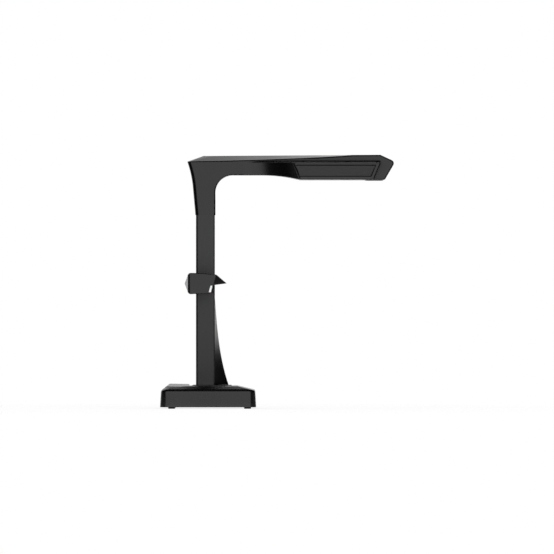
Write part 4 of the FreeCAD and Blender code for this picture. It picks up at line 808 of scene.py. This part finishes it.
def button_rows(form, across):
    """The rim and the floor of a button's hole in the slope of the nose."""
    lean = math.atan(NOSE_SLOPE)
    rows = []
    for down in (0, HOLE_DEPTH):
        rows.append(form.row([
            (across + x, BUTTON_FORWARD + y * math.cos(lean) - down * math.sin(lean),
             BUTTON_TOP - y * math.sin(lean) - down * math.cos(lean))
            for x, y in arc((0, 0), HOLE_RADIUS, 0, 360, 32)[:-1]
        ]))
    return rows


print("buttons at", round(BUTTON_TOP, 2), "mm")

# %% Arm walls
form = Form()
back = [(-19.0, COLUMN_TOP), (-20.8, 305.0)] + REAR_ELBOW[:-1] + [(-30.9, 363.6)]
around = ROOF_EDGE[1:] + [ROOF_END] + list(reversed(NOSE))
rear_rows = [form.level(rear_row(forward), z) for forward, z in back]
form.skin(rear_rows, wrap=False)
outer, inner, floor_edge, band = {}, {}, {}, {}
for sign in (-1, 1):
    outer[sign] = form.flank(lips, sign * ARM_HALF)
    inner[sign] = form.flank(lips, sign * (ARM_HALF - WALL))
    floor_edge[sign] = form.flank(floors, sign * (ARM_HALF - WALL))
    band[sign] = form.flank(around, sign * ARM_HALF)
    rear_line = [row[0 if sign < 0 else -1] for row in rear_rows]
    form.face(outer[sign] + rear_line + band[sign])
    form.skin([outer[sign], inner[sign], floor_edge[sign]], wrap=False)
form.skin([floor_edge[-1], floor_edge[1]], wrap=False)
form.face([inner[-1][0], floor_edge[-1][0], floor_edge[1][0], inner[1][0]])
form.face([band[-1][-1], outer[-1][0], inner[-1][0], inner[1][0], outer[1][0], band[1][-1]])
form.face([outer[-1][-1]] + rear_rows[0] + [outer[1][-1], inner[1][-1], floor_edge[1][-1],
                                           floor_edge[-1][-1], inner[-1][-1]])
print(len(form.mesh.faces), "faces in the walls")

# %% Arm roof
left, right = band[-1], band[1]
flat_start = len(ROOF_EDGE) - 2  # from here on the roof is flat across
for i in range(flat_start, len(left) - 1):
    corners = [left[i], left[i + 1], right[i + 1], right[i]]
    if i == flat_start:
        form.holed(corners, seat_rows(form))
    elif i == flat_start + 1:
        form.holed(corners, button_rows(form, -BUTTON_SIDE), button_rows(form, BUTTON_SIDE))
    else:
        form.face(corners)
lines, top_row = {}, rear_rows[-1]
half_row = len(top_row) // 2
for sign in (-1, 1):
    spots = [RIDGE_START] + [(y, ridge(y)) for y, z in ROOF_EDGE[1:-1]]
    line = lines[sign] = form.flank(spots, sign * RIDGE_HALF)
    corner = top_row[:half_row] if sign < 0 else list(reversed(top_row[half_row:]))
    edge = [corner[0]] + band[sign][:flat_start + 1]
    for first, second in zip(corner, corner[1:]):
        form.face([first, second, line[0]])
    for i in range(len(line) - 1):
        form.face([edge[i], edge[i + 1], line[i + 1], line[i]])
    form.face([edge[-2], edge[-1], line[-1]])
form.skin([lines[-1], lines[1]], wrap=False)
form.face([top_row[half_row - 1], top_row[half_row], lines[1][0], lines[-1][0]])
form.face([lines[-1][-1], left[flat_start], right[flat_start], lines[1][-1]])

# %% Arm edges
ROOF = 363.0  # the roof and its edges lie above this
form.soften(2.5, [
    (lambda x, y, z: abs(x) < ARM_HALF - 0.5 and z < ROOF - 3, 0),  # the channel
    (lambda x, y, z: abs(x) < SEAT_SIDE + 1 and y > 215, 0),  # the seat and the holes
    (lambda x, y, z: GATE[1] - 1 < y < GATE[0] + 1 and z < 345, 0),  # the low walls
    (lambda x, y, z: z < COLUMN_TOP + 0.1, 0),  # the foot on the column
    (lambda x, y, z: abs(x) < 25 and y < -24 and z > ROOF, 0.8),  # the hip at the rear
    (lambda x, y, z: abs(x) < 25 and y < 240 and z > ROOF, 0.5),  # the ridge
    (lambda x, y, z: abs(x) > 25 and 150 > y > -31 and z > ROOF, 1.4),  # the roof's edge
], least=9)
form.piece("arm_skin", HOUSING, stands_for="arm_shell", segments=4)

# %% [markdown]
# ## Display and buttons on the head
#
# A smoked window lies flush in the roof, and two round buttons stand in the slope of the
# nose. Each button is turned with a dished face and a rounded rim, so it catches a thin
# ring of light.

# %% Display window and head buttons
form = Form()
form.tube([form.row([(x, y, ridge(y) - down) for x, y in seat_outline(0.1, 1.1)])
           for down in (SEAT_DEPTH - 0.1, 0.06)])
form.soften(0.25, [(lambda x, y, z: z < ridge(y) - 1, 0)])
form.piece("display_glass", WINDOW, slot="lens", stands_for="display_window", segments=2)

BUTTON = [  # radius, height over the nose
    (4.1, -6.8), (4.5, -6.4), (4.5, -0.55), (4.35, -0.2), (4.0, -0.02), (3.5, -0.02),
    (2.6, -0.25), (0.5, -0.4),
]
for name, body, sign in (("light_button", "light_key", -1), ("scan_button", "scan_key", 1)):
    form = turned(BUTTON, sign * BUTTON_SIDE, BUTTON_FORWARD, BUTTON_TILT, BUTTON_TOP)
    form.soften(0)
    form.piece(f"{name}_cap", TRIM, body, "button", name)

# %% [markdown]
# ## The wings of the head
#
# Where the arm becomes the head, both flanks sweep outwards in one long arc. Each wing is
# a solid whose outline is given at its foot and at its top; its surface is drawn straight
# between the two, and its lower edge follows the underside of the arm. The arc turns the
# surface away from the camera little by little, which gives the soft fall from grey to
# black. A small cove joins the wing's top to the wall of the arm.

# %% Wings
WING_TOP, WING_REACH, FLARE_START = 362.8, 59.0, 52.0
WING_CORNER, WING_BLEND, COVE = 7.0, 1.5, 3.0
WING_FOOT_ENDS, WING_TOP_ENDS = (134.8, 243.0), (124.1, 253.8)  # where the flat starts and ends


def wing_outline(rear, front):
    """The wing's outline at one height: the sweep, the flat, the corner and the front."""
    spread = WING_REACH - ARM_HALF
    radius = (spread**2 + (rear - FLARE_START) ** 2) / (2 * spread)
    turn = math.asin((rear - FLARE_START) / radius)
    turns = [turn * i / 26 for i in range(27)]
    sweep = [(ARM_HALF + radius * (1 - math.cos(t)), FLARE_START + radius * math.sin(t))
             for t in turns]
    flat = [(WING_REACH, rear + (front - WING_CORNER - rear) * i / 8) for i in range(1, 9)]
    blend = arc((ARM_HALF + WING_BLEND, front + WING_BLEND), WING_BLEND, -90, -180, 6)
    return sweep + flat + [(WING_REACH - WING_CORNER, front)] + blend


def dip_height(forward):
    """The height of the arm's underside."""
    line = sorted(DIP)
    if forward <= line[0][0]:
        return ARM_FOOT
    for (y0, z0), (y1, z1) in zip(line, line[1:]):
        if forward <= y1:
            return z0 + (z1 - z0) * (forward - y0) / (y1 - y0)
    return HEAD_FOOT


rows = [[] for _ in range(7)]
tall = WING_TOP - HEAD_FOOT
for (x0, y0), (x1, y1) in zip(wing_outline(*WING_FOOT_ENDS), wing_outline(*WING_TOP_ENDS)):
    share = 0.0
    for _ in range(12):  # settles where the line from foot to top meets the arm's underside
        share = max(0.0, (dip_height(y0 + (y1 - y0) * share) - HEAD_FOOT) / tall)
    low_x, low_y, low_z = x0 + (x1 - x0) * share, y0 + (y1 - y0) * share, HEAD_FOOT + tall * share
    cove = min(COVE, (x1 - ARM_HALF) * 0.8)
    rows[0].append((ARM_HALF - 0.5, low_y, low_z))
    rows[1].append((max(low_x, ARM_HALF), low_y, low_z))
    rows[2].append((x1, y1, WING_TOP))
    for row, turn in zip(rows[3:], (0, 30, 60, 90)):
        t = math.radians(turn)
        row.append((ARM_HALF + cove * (1 - math.sin(t)), y1, WING_TOP + cove * (1 - math.cos(t))))
for side, sign in SIDES:
    form = Form()
    made = [form.row([(sign * x, y, z) for x, y, z in row]) for row in rows]
    form.skin(made + [made[0]], wrap=False)
    form.face([row[-1] for row in made])
    form.face([row[0] for row in made])
    form.soften(0, [
        (lambda x, y, z: abs(z - WING_TOP) < 0.2 and abs(x) > 27 and y < 200, 0.9),  # top edge
        (lambda x, y, z: z < 344 and abs(x) > 27 and y < 200, 0.6),  # edge at the underside
    ], least=20)
    form.piece(f"wing_skin_{side}", HOUSING, stands_for=f"wing_{side}")

# %% [markdown]
# ## Side bezels and their textured panels
#
# A trapezoid bezel closes each wing. Its face is a narrow lip round a recess, and at the
# front a slanted facet leads back to the nose. The recess holds a panel with a fine
# diagonal ribbing: the ribs are real geometry, one sheared strip per rib, cut to the
# trapezoid with planes.

# %% Bezels
OUTLINE = [(124.1, 362.0), (253.8, 362.0), (243.4, 337.3), (134.5, 337.3)]
FACE = [(127.1, 362.0), (249.6, 362.0), (239.2, 337.3), (136.3, 337.3)]
RECESS = [(129.3, 357.4), (246.1, 357.4), (239.0, 341.9), (134.8, 341.9)]
FACE_X, FRONT_X, REAR_X, BACK_X, PANEL_X = 65.0, 64.2, 63.8, 58.8, 63.4
SLANT, SLANT_FOOT = 1.3, 0.5  # how far the recess widens towards its lip, and that below
WIDENED = [(-SLANT, SLANT), (SLANT, SLANT), (SLANT, -SLANT_FOOT), (-SLANT, -SLANT_FOOT)]
LIP = [(y + along, z + up) for (y, z), (along, up) in zip(RECESS, WIDENED)]

for side, sign in SIDES:
    form = Form()
    depths = (REAR_X, FRONT_X, FRONT_X, REAR_X)
    back = form.flank(OUTLINE, sign * BACK_X)
    rim = form.row([(sign * x, y, z) for x, (y, z) in zip(depths, OUTLINE)])
    face, lip = form.flank(FACE, sign * FACE_X), form.flank(LIP, sign * FACE_X)
    sunk = form.flank(RECESS, sign * PANEL_X)
    form.face(back)
    form.face(sunk)
    for i, j in ((0, 1), (1, 2), (2, 3), (3, 0)):
        form.face([face[i], face[j], lip[j], lip[i]])
        form.face([lip[i], lip[j], sunk[j], sunk[i]])
        if i in (0, 2):
            form.face([back[i], back[j], rim[j], face[j], face[i], rim[i]])
        else:
            form.face([back[i], back[j], rim[j], rim[i]])
            form.face([rim[i], rim[j], face[j], face[i]])
    form.soften(1.2, [
        (lambda x, y, z: abs(x) < BACK_X + 0.2, 0),
        (lambda x, y, z: abs(x) < PANEL_X + 0.1, 0.3),
        (lambda x, y, z: 341 < z < 359 and 129 < y < 248, 0.5),  # the lip
    ])
    form.piece(f"bezel_skin_{side}", TRIM, stands_for=f"side_bezel_{side}")

# %% Panels
RIB, RIB_DEPTH, RIB_LEAN, RIB_START, RIB_COUNT = 2.95, 0.45, 0.46, 120.0, 46
RIB_PROFILE = ((0.0, 0.0), (1.55, 0.0), (1.85, 1.0), (2.65, 1.0))  # along, share of the depth
PANEL_FACE, GAP = FACE_X - 0.4, 0.12

for side, sign in SIDES:
    form = Form()
    low, high = RECESS[2][1] - 1, RECESS[0][1] + 1
    rows = []
    for z in (low, high):
        rows.append(form.row([
            (sign * (PANEL_FACE - RIB_DEPTH * share),
             RIB_START + number * RIB + along + (z - low) * RIB_LEAN, z)
            for number in range(RIB_COUNT) for along, share in RIB_PROFILE
        ]))
    form.skin(rows, wrap=False)
    middle = Vector((0, -sum(y for y, z in RECESS) / 4, sum(z for y, z in RECESS) / 4))
    for (y0, z0), (y1, z1) in zip(RECESS, RECESS[1:] + RECESS[:1]):
        outward = Vector((0, z1 - z0, y1 - y0)).normalized()
        start = Vector((0, -y0, z0))
        if outward.dot(middle - start) > 0:
            outward = -outward
        form.cut(start - outward * GAP, outward)
    grown = bmesh.ops.extrude_edge_only(form.mesh, edges=form.rim())["geom"]
    for part in grown:
        if isinstance(part, bmesh.types.BMVert):
            part.co.x = sign * (PANEL_X + 0.02) * MM
    form.soften(0, least=8)
    form.piece(f"ribbed_panel_{side}", TRIM, slot="panel", stands_for=f"side_panel_{side}")

# %% [markdown]
# ## The lamp bar
#
# A clamp slides on the column and carries two pods, one on each side. A pod is one
# outline drawn through its length, with the end face square to the camera. A hood stands
# out from it as a slanted wedge that shades the eyes. One cover with well rounded edges
# closes the back of the whole bar and rises to a point, as a shallow pyramid.

# %% Pods
LAMP_FOOT, LAMP_TOP = 168.4, 199.6
LAMP_INNER, LAMP_END = 27.35, 85.0
POD_REAR, HOOD = -25.5, [(7.6, 181.5), (11.9, 197.1), (27.0, 184.1)]
POD = [(POD_REAR, LAMP_FOOT)] + bow((POD_REAR, LAMP_TOP), HOOD[1], 300.0, 8, 1) + [
    HOOD[0], (3.5, 181.2), (0.7, 171.0), (4.2, 171.0), (4.0, 169.7),
]
LAMP_BUTTON = (52.0, -10.0)
for side, sign in SIDES:
    form = Form()
    form.tube([form.flank(POD, sign * x) for x in (LAMP_INNER, LAMP_END)])
    form.soften(0.7, [
        (lambda x, y, z: abs(x) > LAMP_END - 1 and z > 196.5, 1.3),  # the end face, above,
        (lambda x, y, z: abs(x) > LAMP_END - 1 and z < 170, 0.9),  # below
        (lambda x, y, z: abs(x) > LAMP_END - 1 and y > 6 and 182 < z < 196, 0.15),  # at the hood
        (lambda x, y, z: y < POD_REAR + 1, 0),
        (lambda x, y, z: abs(x) < LAMP_INNER + 0.65, 0.3),
        (lambda x, y, z: y > 0 and 170.9 < z < 181.6, 0.3),  # round the strip
    ])
    pod = form.piece(f"lamp_pod_skin_{side}", HOUSING, "lamp_bar", stands_for=f"lamp_pod_{side}")
    if side == "right":
        carve(pod, turned([(4.35, 0), (4.35, 9)], *LAMP_BUTTON, height=LAMP_TOP - 7))

# %% Hoods and diffusers
for side, sign in SIDES:
    form = Form()
    outer = zip((LAMP_END, LAMP_END, 68.0), HOOD)  # the tip slants inwards
    form.tube([form.flank(HOOD, sign * LAMP_INNER),
               form.row([(sign * x, y, z) for x, (y, z) in outer])])
    form.soften(0.5)
    form.piece(f"lamp_hood_skin_{side}", HOUSING, "lamp_bar", stands_for=f"lamp_hood_{side}")

    strip = [(3.6, 181.0), (6.3, 181.2), (4.1, 171.1), (0.8, 171.1)]
    form = Form()
    form.tube([form.flank(strip, sign * x) for x in (29.4, LAMP_END - 0.05)])
    form.soften(0.9)
    form.piece(f"lamp_strip_{side}", DIFFUSER, "lamp_bar", "diffuser", f"lamp_diffuser_{side}")

# %% Lamp back cover
BACK_ROUND, BACK_REAR, BACK_POINT, BACK_CORNER = 4.4, -29.9, -34.7, 1.6
LAMP_HALF, LAMP_MIDDLE = (LAMP_TOP - LAMP_FOOT) / 2, (LAMP_TOP + LAMP_FOOT) / 2
SCREW_X, SCREW_EDGE, SCREW_SEAT, SINK_RADIUS = 29.0, 4.6, BACK_REAR + 0.6, 2.3
form = Form()
rows = []
for turn in range(0, 81, 10):
    t = math.radians(turn)
    inset = BACK_ROUND * (1 - math.cos(t))
    outline = rounded_box(LAMP_END - inset, LAMP_HALF - inset, BACK_CORNER, 4)
    forward = BACK_REAR + BACK_ROUND * (1 - math.sin(t))
    rows.append(form.upright(outline, forward, LAMP_MIDDLE))
rows.append(form.upright(rounded_box(1.5, 0.8, 0.2, 4), BACK_POINT, LAMP_MIDDLE))
form.tube(rows)
form.soften(0, least=16)
cover = form.piece("lamp_back_skin", BACK, "lamp_bar", stands_for="lamp_back_cover")
SCREWS = [(sign * SCREW_X, z) for sign in (-1, 1)
          for z in (LAMP_FOOT + SCREW_EDGE, LAMP_TOP - SCREW_EDGE)]
carve(cover, *[
    turned([(SINK_RADIUS, 0), (SINK_RADIUS, 9)], x, SCREW_SEAT, -90, z, steps=24)
    for x, z in SCREWS
])

# %% Clamp
CLAMP_LOW, CLAMP_HIGH, CLAMP_NOTCH = 170.0, 197.0, 182.0
CLAMP_GAP, CLAMP_WALL = 0.35, 1.5
form = Form()
rows = []
for away, radius, heights in (
    (CLAMP_GAP + CLAMP_WALL, 3.0, (CLAMP_LOW, CLAMP_HIGH)),
    (CLAMP_GAP, 2.0, (CLAMP_HIGH, CLAMP_LOW)),
):
    front, rear = COLUMN_FRONT + away, COLUMN_REAR - away
    outline = rounded_box(COLUMN_HALF + away, (front - rear) / 2, radius)
    rows += [form.level([(x, y + (front + rear) / 2) for x, y in outline], z) for z in heights]
form.skin(rows + [rows[0]])
form.soften(0.35)
clamp = form.piece("clamp_ring", INNER, "lamp_bar", stands_for="lamp_clamp")


def block(half, rear, front, low, high):
    """A plain block across the middle."""
    form = Form()
    plan = ((-half, rear), (half, rear), (half, front), (-half, front))
    form.tube([form.level(plan, z) for z in (low, high)])
    return form


carve(clamp, block(30, 8.6, 14, CLAMP_LOW - 2, CLAMP_NOTCH), solver="MANIFOLD")
form = block(8, -19.5, POD_REAR, CLAMP_LOW + 4, CLAMP_HIGH - 4)
form.soften(0.5)
form.piece("clamp_boss", INNER, "lamp_bar")

# %% Lamp button
CAP = [  # radius, height over the pod
    (3.6, -4.2), (4.0, -3.9), (4.0, -0.5), (3.85, -0.2), (3.5, -0.02), (3.0, -0.02),
    (2.2, -0.2), (0.4, -0.3),
]
form = turned(CAP, *LAMP_BUTTON, height=LAMP_TOP - 0.08)
form.soften(0)
form.piece("lamp_button_cap", TRIM, "lamp_key", "button", "lamp_button")

# %% [markdown]
# ## The lamp bar's screws
#
# Four screws hold the cover of the lamp bar from behind. Each has a domed, turned head,
# and its cross recess is a plus-shaped prism that tapers inwards. The four are one piece,
# as in the CAD model.

# %% Screws
HEAD, THICK, SHANK, LENGTH = 2.1, 1.2, 1.1, 12.0
SCREW = [  # radius, height over the seat
    (0.3, -LENGTH), (SHANK * 0.6, -LENGTH), (SHANK, -LENGTH + SHANK * 0.5), (SHANK, 0.0),
    (HEAD, 0.0), (HEAD, THICK * 0.45), (HEAD * 0.86, THICK * 0.8), (HEAD * 0.55, THICK * 0.97),
    (HEAD * 0.2, THICK),
]
ARM, ARM_WIDTH = HEAD * 0.62, HEAD * 0.15
PLUS = []
for number in range(4):
    t = math.radians(90 * number)
    for x, y in ((ARM, -ARM_WIDTH), (ARM, ARM_WIDTH), (ARM_WIDTH, ARM_WIDTH)):
        PLUS.append((x * math.cos(t) - y * math.sin(t), x * math.sin(t) + y * math.cos(t)))

form, recess = Form(), Form()
for across, height in SCREWS:
    turned(SCREW, across, SCREW_SEAT, -90, height, steps=28, form=form)
    recess.tube([
        recess.row([(across + x * scale, SCREW_SEAT - THICK - rise, height + y * scale)
                    for x, y in PLUS])
        for rise, scale in ((0.5, 1.1), (-THICK * 0.62, 0.6))
    ])
form.soften(0)
carve(form.piece("lamp_screw_set", BLACKENED, "lamp_bar", "screw", "lamp_screws"), recess)

# %% [markdown]
# ## The underside of the head
#
# Below the head are the two work lights and the camera's window. The work lights are
# milky plates with fine prisms across them. The camera's window is a thin turned ring
# with a coated glass disc in it.

# %% Work lights and camera ring
LIGHT_REAR, LIGHT_LENGTH, LIGHT_SIDE, LIGHT_HALF, LIGHT_GAP = 150.0, 78.0, 42.0, 10.0, 0.3
PRISMS, PRISM_DEPTH = 39, 0.35
inner, outer = LIGHT_SIDE - LIGHT_HALF + LIGHT_GAP, LIGHT_SIDE + LIGHT_HALF - LIGHT_GAP
top = HEAD_FOOT + 2.0
for side, sign in SIDES:
    form = Form()
    rows = []
    for number in range(2 * PRISMS + 1):
        share = number / (2 * PRISMS)
        forward = LIGHT_REAR + LIGHT_GAP + (LIGHT_LENGTH - 2 * LIGHT_GAP) * share
        low = HEAD_FOOT + LIGHT_GAP + (PRISM_DEPTH if number % 2 == 0 else 0.0)
        rows.append(form.row([(sign * inner, forward, low), (sign * outer, forward, low),
                              (sign * outer, forward, top), (sign * inner, forward, top)]))
    form.tube(rows)
    form.soften(0, least=8)
    form.piece(f"work_light_prisms_{side}", LIGHT, slot="diffuser",
               stands_for=f"work_light_diffuser_{side}")

CAMERA_FORWARD = 244.5
RING = [  # radius, height over the underside of the head
    (10.4, 2.8), (10.4, 0.05), (12.9, 0.05), (13.0, -0.1), (13.0, -0.6), (12.75, -0.92),
    (12.3, -1.0), (11.2, -1.0), (10.8, -0.9), (9.6, -0.25), (9.4, -0.1), (9.4, 0.6), (9.4, 2.8),
]
GLASS = [(9.4, 1.4), (9.4, 0.1), (9.2, 0.0), (0.3, -0.05)]
form = Form()
rows = [form.level(arc((0, CAMERA_FORWARD), radius, 0, 360, 48)[:-1], HEAD_FOOT + rise)
        for radius, rise in RING]
form.skin(rows + [rows[0]])
form.soften(0)
form.piece("camera_ring", TRIM, slot="lens", stands_for="camera_window")
form = turned(GLASS, 0, CAMERA_FORWARD, height=HEAD_FOOT, steps=48)
form.soften(0)
form.piece("camera_glass", LENS, slot="lens")

# %% [markdown]
# ## The studio
#
# The photograph was lit so that a black, satin object keeps its shape: a bright field
# round the camera gives every face that looks at it one even grey, and black flags beside
# the lens axis draw the dark lines along each rounded edge. The background is plain white
# and also shows in the glossy surfaces. The floor is a pale disc that keeps the object's
# shadow and fades out into the background.

# %% World and lamps
world = bpy.data.worlds.new("studio")
bpy.context.scene.world = world
sky = Finish("sky", owner=world)
AMBIENT = 0.6
background = sky.tree.nodes["Background"].inputs
sky.feed(background["Color"], (1, 1, 1, 1))
sky.feed(background["Strength"], sky.watched() * (1 - AMBIENT) + AMBIENT)


def soft_box(name, place, size, level, aim=(0, -0.1, 0.2)):
    """A square lamp that lights a facing surface to this level, where 1 is white."""
    data = bpy.data.lights.new(name, "AREA")
    data.shape, data.size = "SQUARE", size
    distance = (Vector(place) - Vector(aim)).length
    data.energy = level * math.pi * distance**2
    lamp = bpy.data.objects.new(name, data)
    lamp.location = place
    lamp.rotation_euler = (Vector(place) - Vector(aim)).to_track_quat("Z", "Y").to_euler()
    lamp.visible_glossy = lamp.visible_camera = False
    bpy.context.scene.collection.objects.link(lamp)


soft_box("key", (-2.2, -1.6, 2.4), 2.2, 0.42)
soft_box("fill", (2.0, 1.8, 2.0), 2.4, 0.3)
print("sky and two lamps")

# %% Black flags
def flag(name, corners):
    """A black card that only reflections show."""
    data = bpy.data.meshes.new(name)
    data.from_pydata(corners, [], [tuple(range(len(corners)))])
    card = bpy.data.objects.new(name, data)
    bpy.context.scene.collection.objects.link(card)
    black = Finish("flag_black")
    black.shade(Base_Color=(0, 0, 0, 1), Roughness=1.0, Specular_IOR_Level=0.0)
    data.materials.append(black.material)
    card.visible_camera = card.visible_diffuse = card.visible_shadow = False
    card.visible_transmission = False


LOW, HIGH = -0.9, 1.9
for name, y, near, far in (("flag_rear", 1.3, -2.1, 0.9), ("flag_front", -1.6, -2.25, 2.4)):
    flag(name, [(near, y, LOW), (far, y, LOW), (far, y, HIGH), (near, y, HIGH)])
for name, z, near, far, front, rear in (
    ("flag_floor", 0.004, -0.42, -0.14, -0.9, 0.7), ("flag_top", 1.7, -2.5, 0.92, -1.6, 1.3),
):
    flag(name, [(near, front, z), (far, front, z), (far, rear, z), (near, rear, z)])
print("four flags")

# %% Floor
disc = bmesh.new()
bmesh.ops.create_circle(disc, cap_ends=True, segments=96, radius=0.85)
floor = new_object("floor", disc)
pale = Finish("floor_pale")
pale.shade(Base_Color=(0.92, 0.92, 0.92, 1), Roughness=0.9, Specular_IOR_Level=0.0)
reach = pale.node("ShaderNodeVectorMath", {"operation": "LENGTH"}, (pale.place(),), out=1)
clear = pale.node("ShaderNodeBsdfTransparent")
glow = pale.node("ShaderNodeEmission", None, {"Color": (1, 1, 1, 1), "Strength": 1.12})
card = Wire(pale, pale.shader.outputs[0])
lit = pale.node("ShaderNodeMixShader", None, (pale.watched() * 0.72, card, glow))
blend = pale.node("ShaderNodeMixShader", None, (reach.between(0.3, 0.8), lit, clear))
pale.feed(pale.tree.nodes["Material Output"].inputs["Surface"], blend)
floor.data.materials.append(pale.material)
print("floor", len(floor.data.vertices), "points")

# %% [markdown]
# ## Finishes for the pieces that stay as they are
#
# The CAD model's own pieces that are right as they stand keep their shape, and only take
# a better finish. Each takes the one for its slot in the record.

# %% Finishes of the CAD pieces
BY_SLOT = {
    "housing": HOUSING, "dark_plastic": INNER, "panel": TRIM, "button": TRIM, "diffuser": LIGHT,
    "lens": WINDOW, "rubber": RUBBER, "steel": STEEL, "screw": BLACKENED, "aluminium": ALUMINIUM,
    "board": BOARD, "socket": SHELL, "ribbon": RIBBON, "brass": BRASS,
}
slots = {part["node"]: part["material_slot"] for part in frame["record"]["subparts"]}
for name, node in nodes.items():
    node.data.materials.clear()
    node.data.materials.append(BY_SLOT[slots[name]])
print(len(nodes), "CAD pieces have a finish")

# %% [markdown]
# ## The last step
#
# The scene is brought up to date.

# %% Update
bpy.context.view_layer.update()
